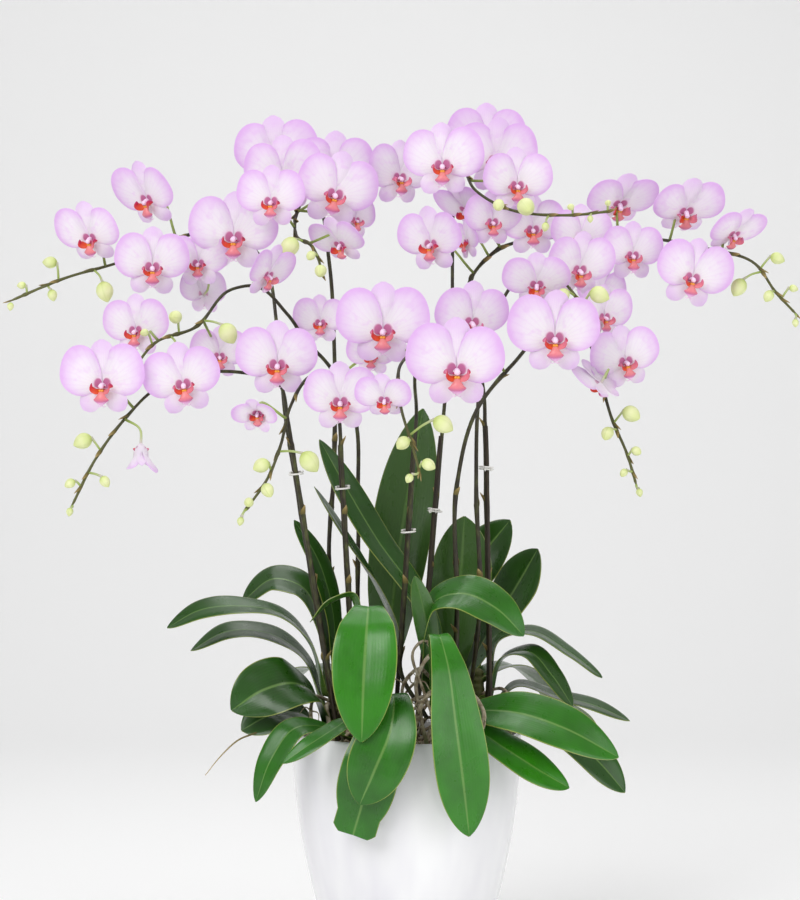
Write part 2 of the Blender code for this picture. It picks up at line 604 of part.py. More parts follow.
SPIKES = [
    Spike("spike_upper_left", "crown_left", (-7.4, -0.9, 25.0),
          STICK["stick_left"].tied_stem(far_side=True),
          [(-13.5, -1.0, 66.0), (-15.5, 2.0, 74.0), (-19.0, 3.6, 77.0), (-24.5, 3.6, 76.0),
           (-30.0, 2.0, 73.5), (-36.0, 0.0, 71.5), (-41.5, 0.0, 69.2)],
          [Bloom((-18.2, 0.8, 75.6), 1.15, -5), Bloom((-22.0, 1.6, 73.0), 0.8, -10),
           Bloom((-26.6, -1.0, 72.4), 1.0, 5), Bloom((-27.6, 3.4, 79.9), 1.0, -38, 28),
           Bloom((-33.2, -0.5, 75.5), 0.95, -22, 30), Bloom((-21.8, 5.0, 70.0), 0.7, -150)],
          [(-37.4, 0.0, 73.2, 1.6), (-37.2, 0.0, 69.8, 1.3), (-40.4, 0.0, 70.8, 1.0),
           (-41.6, 0.0, 68.6, 0.9), (-31.7, 0.0, 70.2, 2.3)]),
    Spike("spike_middle_left", "crown_back_left", (-4.4, 6.6, 26.0),
          [foliage(-5.2, 6.4, 36.0), foliage(-5.2, 6.0, 48.0)],
          [(-5.8, 4.6, 58.0), (-8.2, 2.4, 62.4), (-10.6, -0.6, 65.0), (-12.4, -3.6, 67.6),
           (-15.6, -5.0, 70.4), (-18.0, -5.6, 70.0), (-21.6, -7.4, 66.0), (-25.6, -8.2, 64.4),
           (-27.8, -9.0, 61.6)],
          [Bloom((-28.0, -4.6, 65.6), 0.9, -15), Bloom((-19.4, -3.6, 63.0), 0.75, 10),
           Bloom((-14.2, -6.6, 71.2), 0.8, 50, 30), Bloom((-9.0, -1.6, 66.6), 0.7, -5)],
          [(-18.2, -8.4, 65.4, 2.4), (-23.5, -8.6, 67.0, 1.7), (-23.3, -9.0, 63.4, 1.3),
           (-26.6, -9.0, 65.4, 1.0), (-27.9, -9.4, 60.6, 0.9)]),
    Spike("spike_lower_left", "crown_front_left", (-5.9, -4.8, 25.0),
          STICK["stick_left"].tied_stem(),
          [(-13.2, -6.0, 60.4), (-17.0, -8.4, 61.4), (-21.0, -10.4, 61.2), (-25.0, -11.4, 59.8),
           (-28.2, -12.6, 56.6), (-31.0, -13.6, 52.6), (-33.2, -14.6, 48.0)],
          [Bloom((-13.0, -11.6, 61.8), 1.05), Bloom((-22.2, -14.0, 59.8), 1.0, 5, 8, 10),
           Bloom((-30.2, -14.6, 59.8), 1.05, -8), Bloom((-26.4, -14.4, 53.8), 0.72, 10, 75)],
          [(-32.2, -13.6, 54.4, 2.0), (-30.0, -14.2, 50.4, 1.3), (-33.4, -14.4, 50.2, 1.2),
           (-33.4, -14.8, 47.4, 0.9)]),
    Spike("spike_centre_left", "crown_front_left", (-4.6, -3.2, 25.6),
          STICK["stick_centre_left"].tied_stem(),
          [(-8.0, -8.6, 60.6), (-10.0, -13.0, 60.6), (-11.6, -15.4, 57.6), (-12.4, -17.0, 54.0),
           (-13.6, -18.0, 50.8), (-15.6, -18.8, 47.8)],
          [Bloom((-6.6, -16.0, 58.0), 0.95), Bloom((-14.6, -18.4, 57.0), 0.7, -10, 35),
           Bloom((-3.6, -9.0, 62.8), 0.65, -10)],
          [(-9.6, -17.4, 52.4, 2.4), (-14.2, -18.2, 52.0, 1.8), (-13.6, -18.9, 49.6, 1.6),
           (-15.4, -19.2, 48.4, 1.2), (-16.2, -19.2, 46.6, 0.9)]),
    Spike("spike_centre", "crown_front_right", (2.0, -4.9, 26.0),
          STICK["stick_centre"].tied_stem(),
          [(0.8, -9.0, 60.0), (0.6, -14.0, 63.0), (-0.8, -18.0, 61.4), (-0.6, -20.4, 57.6),
           (0.4, -21.0, 54.2), (1.2, -21.6, 51.4)],
          [Bloom((-2.4, -12.4, 65.2), 1.15, -3), Bloom((4.8, -20.0, 61.0), 1.2, 3),
           Bloom((-2.2, -20.6, 58.2), 0.7, -8, 35)],
          [(3.4, -20.6, 56.0, 2.2), (-0.4, -21.4, 54.2, 1.6), (2.0, -21.8, 52.1, 1.5),
           (0.2, -22.0, 50.8, 1.0)]),
    Spike("spike_top_left", "crown_back_left", (-4.0, 5.0, 26.4),
          [foliage(-8.2, 6.2, 40.0), foliage(-7.8, 7.2, 52.0)],
          [(-7.8, 8.0, 64.0), (-8.4, 8.8, 74.0), (-9.6, 9.6, 80.5), (-10.7, 8.8, 82.3),
           (-11.5, 5.6, 79.6), (-11.8, 1.4, 77.4), (-11.3, -1.5, 75.6), (-9.8, -2.9, 74.6),
           (-9.1, -3.4, 73.1), (-8.8, -3.6, 71.8)],
          [Bloom((-7.6, 1.0, 80.2), 1.1, 8, 8, -12), Bloom((-7.7, 6.2, 82.9), 1.1, 5),
           Bloom((-14.1, -2.8, 79.1), 0.9, -8), Bloom((-13.2, 3.5, 82.1), 1.1, -10),
           Bloom((-14.2, 7.5, 84.5), 1.15, -5), Bloom((-7.0, 0.0, 74.9), 0.8, -30, 45),
           Bloom((-5.4, 3.5, 77.8), 0.65, 35)],
          [(-12.1, -3.4, 74.6, 2.4), (-9.9, -4.0, 73.6, 1.2), (-8.9, -4.2, 72.0, 1.6)]),
    Spike("spike_upper_right", "crown_back_right", (3.4, 5.6, 26.4),
          STICK["stick_centre_right"].tied_stem(),
          [(4.8, 5.6, 66.0), (5.0, 7.6, 76.0), (5.2, 7.6, 82.6), (5.8, 4.4, 84.6),
           (6.2, 0.0, 83.0), (7.0, -3.0, 80.6), (10.2, -5.0, 78.4), (16.6, -5.8, 77.6),
           (21.0, -6.0, 78.0)],
          [Bloom((3.7, -2.2, 82.9), 1.05), Bloom((9.6, 3.5, 84.0), 1.1, 5),
           Bloom((8.7, 8.4, 86.2), 1.1, 3), Bloom((11.5, -2.2, 80.8), 0.95, 10),
           Bloom((-0.7, 4.0, 82.3), 0.95, 25)],
          [(9.4, -6.4, 78.6, 1.5), (12.2, -6.4, 78.4, 2.3), (14.2, -6.2, 76.4, 1.0),
           (16.8, -6.2, 78.4, 0.9), (18.8, -6.2, 77.2, 0.8), (20.6, -6.4, 78.8, 0.8)]),
    Spike("spike_far_right", "crown_right", (8.4, 1.2, 26.0),
          STICK["stick_right"].tied_stem(),
          [(7.0, 1.4, 66.0), (6.8, 3.0, 71.6), (9.4, 3.4, 74.6), (16.4, 3.4, 76.2),
           (24.0, 3.2, 76.2), (31.6, 1.6, 74.8), (36.6, -0.2, 73.0), (38.6, -1.0, 70.0),
           (40.6, -1.2, 67.8)],
          [Bloom((2.5, -2.2, 74.7), 0.95, -28, 15), Bloom((9.0, -0.2, 77.2), 0.8, 15),
           Bloom((13.3, 0.8, 76.5), 0.9, 5), Bloom((6.3, 3.2, 78.9), 0.85, -40, 50),
           Bloom((6.3, 1.4, 75.3), 0.6, -60), Bloom((18.4, 0.6, 75.6), 0.85, 5),
           Bloom((22.8, 4.8, 79.6), 1.0, 15, 50), Bloom((29.7, 3.0, 78.6), 1.0, 10, 42),
           Bloom((34.4, 0.4, 76.0), 0.85, 30, 50), Bloom((29.6, -3.0, 71.1), 1.0, 10, 8, -12),
           Bloom((23.6, -1.6, 73.6), 0.85, 8)],
          [(34.8, -0.6, 70.6, 2.1), (38.8, -0.6, 73.6, 1.6), (37.8, -1.4, 69.6, 1.4),
           (40.4, -1.2, 70.4, 1.0), (40.6, -1.4, 66.8, 0.9)]),
    Spike("spike_middle_right", "crown_right", (6.6, 1.4, 27.0),
          [foliage(7.6, -3.2, 38.0), foliage(7.2, -3.2, 50.0)],
          [(7.6, -2.4, 60.0), (9.0, -1.2, 67.0), (11.6, -1.4, 71.4), (14.0, -4.4, 72.2),
           (16.2, -7.6, 70.4), (18.4, -9.6, 67.0)],
          [Bloom((13.2, -8.4, 70.1), 0.85, -5, 35), Bloom((17.8, -5.0, 71.8), 0.95, 20, 20),
           Bloom((14.8, -12.4, 64.4), 1.15)],
          [(15.8, -9.8, 69.2, 1.6), (19.4, -9.8, 69.2, 2.2), (19.0, -10.2, 66.0, 1.3)]),
    Spike("spike_lower_right", "crown_front_right", (5.0, -4.3, 26.6),
          [foliage(5.2, -3.8, 38.0), foliage(5.2, -4.0, 50.0)],
          [(7.2, -5.0, 57.6), (11.0, -3.4, 62.4), (15.0, -1.4, 66.0), (18.2, -2.6, 65.4),
           (19.8, -5.6, 61.0), (21.0, -6.8, 56.6), (22.4, -7.6, 53.2), (23.3, -8.4, 50.0)],
          [Bloom((6.6, -9.0, 66.2), 1.0, 15, 20), Bloom((20.4, -4.6, 67.0), 0.8, 30),
           Bloom((20.6, 0.2, 69.6), 0.7, 20), Bloom((22.4, -7.4, 62.3), 0.9, 15, 10, 12),
           Bloom((19.5, -9.6, 60.1), 0.75, -130, 45)],
          [(22.8, -8.0, 57.2, 2.1), (20.4, -8.2, 55.2, 1.6), (23.3, -8.4, 53.4, 1.2),
           (22.0, -8.8, 51.2, 1.0), (23.6, -8.8, 49.2, 0.9)]),
]


def flower_outline():
    """The lobed outline of an open flower of width 1, from its top and round by its left."""
    right = [(0.13, 0.40), (0.36, 0.45), (0.50, 0.14), (0.28, -0.09), (0.23, -0.30)]
    left = [(-x, y) for x, y in right]
    return [(0.0, 0.56), *left, (0.0, -0.18), *reversed(right)]


def flower_mesh(name, bloom):
    """The tepals as one lobed, slightly cupped sheet of even thickness."""
    width = bloom.size * FLOWER_WIDTH
    roll = Matrix.Rotation(math.radians(bloom.roll), 3, bloom.facing())
    frame = roll @ facing_frame(bloom.facing())
    centre = bloom.centre()
    cup = PETAL_CUP * width
    shell = bmesh.new()
    middle = shell.verts.new(centre - bloom.facing() * cup)
    rim = [shell.verts.new(centre + frame @ Vector((x * width, y * width, 0.0)))
           for x, y in flower_outline()]
    for vert, following in zip(rim, rim[1:] + rim[:1]):
        shell.faces.new((middle, vert, following))
    mesh = bpy.data.meshes.new(name)
    shell.to_mesh(mesh)
    shell.free()
    sheet = bpy.data.objects.new(f"{name}_sheet", mesh)
    HELPERS.objects.link(sheet)
    solid = sheet.modifiers.new("thickness", "SOLIDIFY")
    solid.thickness = PETAL_THICKNESS
    solid.offset = 0.0
    thick = evaluated_mesh(sheet)
    bpy.data.objects.remove(sheet, do_unlink=True)
    return thick


def lip_mesh(name, bloom):
    """The lip and column: a blunt wedge through the flower's middle, pointing a little down."""
    shell = bmesh.new()
    length = LIP_LENGTH * bloom.size
    behind = PETAL_CUP * FLOWER_WIDTH * bloom.size + PETAL_THICKNESS
    bmesh.ops.create_cone(shell, cap_ends=True, segments=4, radius1=length * LIP_ROOT,
                          radius2=length * LIP_TIP, depth=length + behind)
    facing = bloom.facing()
    frame = facing_frame((facing - UP * LIP_DROOP).normalized())
    centre = bloom.centre() + frame @ Vector((0.0, 0.0, (length - behind) / 2))
    bmesh.ops.transform(shell, matrix=Matrix.Translation(centre) @ frame.to_4x4(), verts=shell.verts)
    mesh = bpy.data.meshes.new(name)
    shell.to_mesh(mesh)
    shell.free()
    return mesh


def bud_mesh(name, centre, length, along):
    """An ovoid bud with its long axis along the way it points."""
    shell = bmesh.new()
    bmesh.ops.create_uvsphere(shell, u_segments=6, v_segments=3, radius=length / 2)
    frame = facing_frame(along, BUD_SEAM).to_4x4()
    slim = Matrix.Diagonal((BUD_SLENDERNESS, BUD_SLENDERNESS, 1.0, 1.0))
    bmesh.ops.transform(shell, matrix=Matrix.Translation(centre) @ frame @ slim, verts=shell.verts)
    mesh = bpy.data.meshes.new(name)
    shell.to_mesh(mesh)
    shell.free()
    return mesh


def nearest(route, place, first=0):
    """The place on the route's later stretch that is nearest to a place."""
    return min(route[first:], key=lambda spot: (spot - place).length)


def make_spike(spike):
    """A stem with its pedicels, flowers and buds grown together into one body."""
    route = spike.route()
    arching = len(spike.lower) * 2 + 1
    meshes = [tube_mesh(spike.name, route, STEM_RADIUS, STEM_TIP_RADIUS)]
    for index, bloom in enumerate(spike.blooms):
        name = f"{spike.name}_bloom_{index}"
        facing = bloom.facing()
        standoff = PEDICEL_STANDOFF * FLOWER_WIDTH * bloom.size
        behind = bloom.centre() - facing * standoff + UP * PEDICEL_RISE
        start = nearest(route, behind, arching)
        end = bloom.centre() + facing * PEDICEL_REACH * LIP_LENGTH
        meshes.append(tube_mesh(f"{name}_pedicel", [start, behind, end], PEDICEL_RADIUS,
                                PEDICEL_RADIUS, 0))
        meshes.append(flower_mesh(name, bloom))
        meshes.append(lip_mesh(f"{name}_lip", bloom))
    for index, (x, y, z, length) in enumerate(spike.buds):
        centre = flower(x, y, z)
        start = nearest(route, centre, arching)
        along = ((centre - start).normalized() - UP * BUD_DROOP).normalized()
        name = f"{spike.name}_bud_{index}"
        meshes.append(tube_mesh(f"{name}_pedicel", [start, centre], PEDICEL_RADIUS,
                                PEDICEL_RADIUS, 0))
        meshes.append(bud_mesh(name, centre, length * CM, along))
    body = unite(spike.name, meshes, "flower")
    smooth_shade(body)
    return body


def main():
    make_pot()
    make_medium(STICKS)
    for stick in STICKS:
        make_stick(stick)
        make_clip(stick)
    for name in CROWNS:
        make_crown(name)
    for leaf in LEAVES:
        make_leaf(leaf)
    for spike in SPIKES:
        make_spike(spike)


main()
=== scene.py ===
"""A glazed pot of moth orchids: ten arching flower spikes over thirty strap leaves.

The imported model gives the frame: the origin is the centre of the pot's foot, +Z is up and the
show side faces -Y. Routes and places are drawn in centimetres and turned into metres by two
frames, one fixed to the pot's rim for leaves and roots, one for the flowers above it.
"""

import json
import logging
import math
import random
from dataclasses import dataclass, field
from enum import Enum

import bpy
import numpy as np
from mathutils import Matrix, Vector

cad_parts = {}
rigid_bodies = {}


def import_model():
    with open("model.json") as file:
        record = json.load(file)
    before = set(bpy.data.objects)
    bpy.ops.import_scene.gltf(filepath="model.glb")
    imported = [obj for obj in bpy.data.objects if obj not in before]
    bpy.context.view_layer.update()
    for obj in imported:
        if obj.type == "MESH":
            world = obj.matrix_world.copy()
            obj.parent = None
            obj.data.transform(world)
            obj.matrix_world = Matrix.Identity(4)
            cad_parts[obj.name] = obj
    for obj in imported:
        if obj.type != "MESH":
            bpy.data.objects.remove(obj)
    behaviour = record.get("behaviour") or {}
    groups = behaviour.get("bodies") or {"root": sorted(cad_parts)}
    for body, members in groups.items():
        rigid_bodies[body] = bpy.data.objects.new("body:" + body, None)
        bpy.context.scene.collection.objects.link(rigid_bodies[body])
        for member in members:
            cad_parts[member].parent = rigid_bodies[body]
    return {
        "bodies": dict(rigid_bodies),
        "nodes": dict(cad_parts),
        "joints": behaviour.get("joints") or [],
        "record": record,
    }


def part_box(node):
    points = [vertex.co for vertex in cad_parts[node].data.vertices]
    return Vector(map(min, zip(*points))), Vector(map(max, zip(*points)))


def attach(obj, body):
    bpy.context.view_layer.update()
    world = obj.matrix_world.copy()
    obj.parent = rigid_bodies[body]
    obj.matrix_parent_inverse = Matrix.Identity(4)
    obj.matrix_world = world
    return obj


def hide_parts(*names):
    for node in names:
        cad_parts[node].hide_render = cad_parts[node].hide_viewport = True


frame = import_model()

log = logging.getLogger("potted_orchid")

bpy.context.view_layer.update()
POT_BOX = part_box("pot")
POT_HEIGHT = POT_BOX[1].z
RIM_RADIUS = POT_BOX[1].x
MEDIUM_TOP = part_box("potting_medium")[1].z

CM = 0.01
MM = 0.001
UP = Vector((0.0, 0.0, 1.0))

# The foliage drawing's own rim, in centimetres.
DRAWN_RIM_RADIUS = 12.0
DRAWN_RIM_LEVEL = 24.0

# Pot, metres.
POT_FOOT_RADIUS = 0.074
POT_SWELL = 0.85              # under 1, the side leaves the foot quicker than a quarter sine

# Leaves and crowns.
LEAF_WIDTH = 0.060
LEAF_THICKNESS = 0.0024
LEAF_CHANNEL = 0.16           # rise of a leaf's edges over its midrib, per half width
LEAF_FOOT_GAP = 0.075 * LEAF_WIDTH
LEAF_FOOT_SHARE = 0.28        # a leaf's width at its foot over its widest
CROWN_RADIUS = 0.0095

# Flowers and buds.
FLOWER_WIDTH = 0.078
TEPAL_THICKNESS = 0.0011
TEPAL_EDGE = 0.45             # a tepal's thickness at its rim over that in its middle
STANDOFF = 0.22               # from a flower's face back to its stalk's bend, per flower width
STALK_RISE = 0.004            # how far that bend lies above the flower's axis
BUD_SLENDERNESS = 0.78        # a bud's width over its length
BUD_DROOP = 0.9               # how much a bud hangs, over how much it follows its stalk

# Stems and supports.
STEM_RADIUS = 0.0024
STEM_TIP_RADIUS = 0.0013
JOINT_SPACING = 0.070         # between joints on the lower stem
STICK_RADIUS = 0.0025
STICK_DEPTH = 0.070           # how far a stick is pushed into the medium
STEM_CLEARANCE = 0.0008       # between a stick and the stem beside it
CLIP_WIRE_RADIUS = 0.0010

# Levels in the foliage drawing, in centimetres.
STICK_MEETS_STEM = 31.0       # where a stem comes alongside its stick
TIED_FROM = 33.5              # where it starts to run up beside it
FREE_ABOVE_STICK = 2.5        # how far it runs straight on past the stick's top


def foliage(x: float, y: float, z: float) -> Vector:
    """A drawn place among the leaves and roots, which grow with the pot's rim.

    Args:
        x: To the right, in drawn centimetres.
        y: Away from the show side.
        z: Up from the pot's foot.

    Returns:
        The place in metres.
    """
    scale = RIM_RADIUS / DRAWN_RIM_RADIUS
    return Vector((x * scale, y * scale, POT_HEIGHT + (z - DRAWN_RIM_LEVEL) * scale))


def flower(x: float, y: float, z: float) -> Vector:
    """A drawn place among the flowers, whose drawing is at full size."""
    return Vector((x, y, z)) * CM


def smooth_route(points: list[Vector], steps: int) -> list[Vector]:
    """A smooth curve through points, whose bends follow the lengths of its stretches.

    Args:
        points: The places it passes through, in order.
        steps: How many steps each stretch is cut into.

    Returns:
        The places along the curve.
    """
    spans = [(end - start).length for start, end in zip(points, points[1:])]
    chords = [(end - start) / span for start, end, span in zip(points, points[1:], spans)]
    slopes = [chords[0]]
    for before, after, chord, following in zip(spans, spans[1:], chords, chords[1:]):
        slopes.append((chord * after + following * before) / (before + after))
    slopes.append(chords[-1])
    route = []
    for index, span in enumerate(spans):
        start, end = points[index], points[index + 1]
        leave, arrive = slopes[index] * span, slopes[index + 1] * span
        for step in range(steps):
            t = step / steps
            route.append(start * (2 * t ** 3 - 3 * t ** 2 + 1) + leave * (t ** 3 - 2 * t ** 2 + t)
                         + end * (3 * t ** 2 - 2 * t ** 3) + arrive * (t ** 3 - t ** 2))
    route.append(points[-1].copy())
    return route


def curve_value(knots: list[tuple[float, float]], at: float) -> float:
    """A smooth curve's height at a place.

    Args:
        knots: The curve's (place, height) knots, in order of place.
        at: The place.

    Returns:
        The height there; beyond the end knots it stays level.
    """
    last = len(knots) - 1
    index = max(i for i in range(last) if knots[i][0] <= at or i == 0)
    slope = []
    for i in (index, index + 1):
        low, high = knots[max(i - 1, 0)], knots[min(i + 1, last)]
        slope.append((high[1] - low[1]) / (high[0] - low[0]))
    (x0, y0), (x1, y1) = knots[index], knots[index + 1]
    span = x1 - x0
    t = min(max((at - x0) / span, 0.0), 1.0)
    return (y0 * (2 * t ** 3 - 3 * t ** 2 + 1) + slope[0] * span * (t ** 3 - 2 * t ** 2 + t)
            + y1 * (3 * t ** 2 - 2 * t ** 3) + slope[1] * span * (t ** 3 - t ** 2))


def facing_frame(facing: Vector, up_hint: Vector = UP) -> Matrix:
    """Axes of a flower: X to its side, Y up it, Z out of its face."""
    side = up_hint.cross(facing).normalized()
    return Matrix((side, facing.cross(side).normalized(), facing)).transposed()


# Finishes

def linear(code: str) -> tuple[float, float, float, float]:
    """Turns an sRGB hex value into a linear colour.

    Args:
        code: The value, such as "#f2d2f9".

    Returns:
        Red, green, blue and a full alpha.
    """
    shares = [int(code[i:i + 2], 16) / 255 for i in (1, 3, 5)]
    r, g, b = (c / 12.92 if c <= 0.04045 else ((c + 0.055) / 1.055) ** 2.4 for c in shares)
    return r, g, b, 1.0


def add_node(tree: bpy.types.NodeTree, kind: str, settings: dict | None = None,
             inputs: dict | None = None, stops: list | None = None) -> bpy.types.Node:
    """Adds one node with its settings and links.

    Args:
        tree: The material's node tree.
        kind: The node's Blender type.
        settings: Attributes to set on the node.
        inputs: A value, a hex colour or a linked output socket for each named input.
        stops: A colour ramp's (place, hex colour) pairs.

    Returns:
        The new node.
    """
    made = tree.nodes.new(kind)
    for key, value in (settings or {}).items():
        setattr(made, key, value)
    for key, value in (inputs or {}).items():
        socket = made.inputs[key]
        if isinstance(value, bpy.types.NodeSocket):
            tree.links.new(value, socket)
        else:
            socket.default_value = linear(value) if isinstance(value, str) else value
    if stops:
        elements = made.color_ramp.elements
        while len(elements) < len(stops):
            elements.new(0.5)
        for element, (place, code) in zip(elements, stops):
            element.position = place
            element.color = linear(code)
    return made


class Tissue:
    """The nodes of one material, with short ways to read, mix and shape its numbers."""

    def __init__(self, material: bpy.types.Material) -> None:
        """Takes a fresh node material.

        Args:
            material: The material, with its first shader and output still in place.
        """
        self.tree = material.node_tree
        self.shader = self.tree.nodes["Principled BSDF"]
        self.output = self.tree.nodes["Material Output"]

    def layer(self, name: str) -> bpy.types.NodeSocket:
        """Reads a number that the mesh holds at each vertex."""
        return add_node(self.tree, "ShaderNodeAttribute", {"attribute_name": name}).outputs["Fac"]

    def sums(self, operation: str, *values: object) -> bpy.types.NodeSocket:
        """Does one sum on numbers or sockets."""
        return add_node(self.tree, "ShaderNodeMath", {"operation": operation},
                        dict(enumerate(values))).outputs[0]

    def band(self, value: object, low: float, high: float) -> bpy.types.NodeSocket:
        """Rises smoothly from 0 at low to 1 at high, or falls where low is the larger."""
        return add_node(self.tree, "ShaderNodeMapRange", {"interpolation_type": "SMOOTHSTEP"},
                        {"Value": value, "From Min": low, "From Max": high}).outputs["Result"]

    def mix(self, share: object, first: object, second: object) -> bpy.types.NodeSocket:
        """Mixes two colours by a share."""
        return add_node(self.tree, "ShaderNodeMix", {"data_type": "RGBA"},
                        {0: share, 6: first, 7: second}).outputs[2]

    def ramp(self, value: object, stops: list) -> bpy.types.NodeSocket:
        """Colours a number by a ramp."""
        return add_node(self.tree, "ShaderNodeValToRGB", None, {"Fac": value}, stops).outputs["Color"]

    def grain(self, size: float, detail: float = 3.0, stretch: tuple = (1, 1, 1)) -> bpy.types.NodeSocket:
        """Noise whose patches are about a size across.

        Args:
            size: That size in metres.
            detail: How many finer octaves it has.
            stretch: Squeezes it along x, y and z: under 1 draws the patches out.

        Returns:
            The noise, about 0.5 on average.
        """
        place = add_node(self.tree, "ShaderNodeNewGeometry").outputs["Position"]
        place = add_node(self.tree, "ShaderNodeMapping", None,
                         {"Vector": place, "Scale": stretch}).outputs["Vector"]
        return add_node(self.tree, "ShaderNodeTexNoise", None,
                        {"Vector": place, "Scale": 1.0 / size, "Detail": detail}).outputs["Fac"]

    def relief(self, height: object, depth: float, strength: float = 1.0) -> None:
        """Embosses the surface.

        Args:
            height: The pattern, from 0 to 1.
            depth: How deep it is, in metres.
            strength: How much of it shows.
        """
        bump = add_node(self.tree, "ShaderNodeBump", None,
                        {"Height": height, "Distance": depth, "Strength": strength})
        self.tree.links.new(bump.outputs["Normal"], self.shader.inputs["Normal"])

    def color(self, value: object) -> None:
        """Links the shader's base colour, or sets it.

        Args:
            value: A colour socket, or a hex value for a colour that is the same all over.
        """
        if isinstance(value, str):
            self.shader.inputs["Base Color"].default_value = linear(value)
        else:
            self.tree.links.new(value, self.shader.inputs["Base Color"])

    def glow_through(self, share: float, value: object) -> None:
        """Lets light through, as thin living tissue does.

        Args:
            share: How much of the light goes through.
            value: Its tint, a colour or a socket.
        """
        behind = add_node(self.tree, "ShaderNodeBsdfTranslucent", None, {"Color": value})
        both = add_node(self.tree, "ShaderNodeMixShader", None,
                        {0: share, 1: self.shader.outputs["BSDF"], 2: behind.outputs["BSDF"]})
        self.tree.links.new(both.outputs["Shader"], self.output.inputs["Surface"])


@dataclass(frozen=True)
class Finish:
    """What a surface is made of, and how that was made."""

    name: str
    slot: str
    roughness: float
    ior: float = 1.45
    specular: float = 0.5
    coat: float = 0.0
    coat_roughness: float = 0.1
    sheen: float = 0.0

    def material(self) -> bpy.types.Material:
        """Makes the finish's material, the first time that it is asked for.

        Returns:
            The material, which every later piece of the same finish shares.
        """
        found = bpy.data.materials.get(self.name)
        if found:
            return found
        made = bpy.data.materials.new(self.name)
        made.use_nodes = True
        tissue = Tissue(made)
        for socket, value in (("Roughness", self.roughness), ("IOR", self.ior),
                              ("Specular IOR Level", self.specular), ("Coat Weight", self.coat),
                              ("Coat Roughness", self.coat_roughness), ("Sheen Weight", self.sheen)):
            tissue.shader.inputs[socket].default_value = value
        self.dress(tissue)
        return made

    def dress(self, tissue: Tissue) -> None:
        """Adds the finish's own colours and relief."""
        raise NotImplementedError


@dataclass(frozen=True)
class GlazedStoneware(Finish):
    """Thrown stoneware under white gloss glaze: bright, smooth, with a faint grey drift."""

    name: str = "white_glazed_stoneware"
    slot: str = "pot_glaze"
    roughness: float = 0.14
    ior: float = 1.52

    def dress(self, tissue: Tissue) -> None:
        """Glaze pools in soft upright drifts about 40 mm wide and 200 mm tall.

        Args:
            tissue: The material's nodes.
        """
        drift = tissue.grain(0.040, 2.0, (1.0, 1.0, 0.2))
        tissue.color(tissue.ramp(drift, [(0.30, "#ebeaef"), (0.70, "#fafafb")]))
        tissue.relief(tissue.grain(0.018, 1.0, (1.0, 1.0, 0.5)), 0.3 * MM, 0.25)


@dataclass(frozen=True)
class PineBark(Finish):
    """Composted pine bark, broken into chips: dark brown, rough, with paler torn faces."""

    name: str = "broken_pine_bark"
    slot: str = "bark_and_moss"
    roughness: float = 0.88

    def dress(self, tissue: Tissue) -> None:
        """Chips differ in tone; torn fibres run about 1.2 mm apart, drawn at 3 mm to show.

        Args:
            tissue: The material's nodes.
        """
        fibre = tissue.grain(3.0 * MM, 5.0, (1.0, 1.0, 2.2))
        chip = tissue.mix(tissue.layer("tone"), "#2c1c12", "#5b3f2a")
        tissue.color(tissue.mix(tissue.band(fibre, 0.42, 0.72), chip, "#8a6a4c"))
        tissue.relief(fibre, 1.2 * MM, 0.8)


@dataclass(frozen=True)
class Sphagnum(Finish):
    """Dried and partly living bog moss in tangled strands: dull green and straw."""

    name: str = "tangled_bog_moss"
    slot: str = "bark_and_moss"
    roughness: float = 0.95

    def dress(self, tissue: Tissue) -> None:
        """Strand tips are straw-coloured and older parts are olive."""
        tissue.color(tissue.mix(tissue.layer("tone"), "#5d6a2c", "#b3a468"))
        tissue.relief(tissue.grain(2.0 * MM, 3.0), 0.6 * MM, 0.6)


@dataclass(frozen=True)
class CrownTissue(Finish):
    """A short woody stem ringed by old leaf bases: olive brown and dull."""

    name: str = "ringed_crown_stem"
    slot: str = "crown"
    roughness: float = 0.62

    def dress(self, tissue: Tissue) -> None:
        """Rings of old bases lie about 7 mm apart.

        Args:
            tissue: The material's nodes.
        """
        ring = tissue.sums("SINE", tissue.sums("MULTIPLY", tissue.layer("along"), 75.0))
        mottle = tissue.grain(6.0 * MM)
        tissue.color(tissue.mix(mottle, "#2f3d16", "#6b6a35"))
        tissue.relief(tissue.sums("ADD", ring, mottle), 0.8 * MM, 0.5)


@dataclass(frozen=True)
class RootSkin(Finish):
    """Spongy root skin: silver beige and matt when dry, with greener new growth."""

    name: str = "dry_spongy_root_skin"
    slot: str = "crown"
    roughness: float = 0.82
    sheen: float = 0.15

    def dress(self, tissue: Tissue) -> None:
        """Blotches a few millimetres across, and a greener growing end.

        Args:
            tissue: The material's nodes.
        """
        blotch = tissue.grain(5.0 * MM)
        bark = tissue.ramp(blotch, [(0.30, "#6d5c45"), (0.52, "#a79a80"), (0.75, "#c9c3b0")])
        tissue.color(tissue.mix(tissue.band(tissue.layer("along"), 0.80, 1.0), bark, "#7f8a4c"))
        tissue.relief(blotch, 0.6 * MM, 0.7)


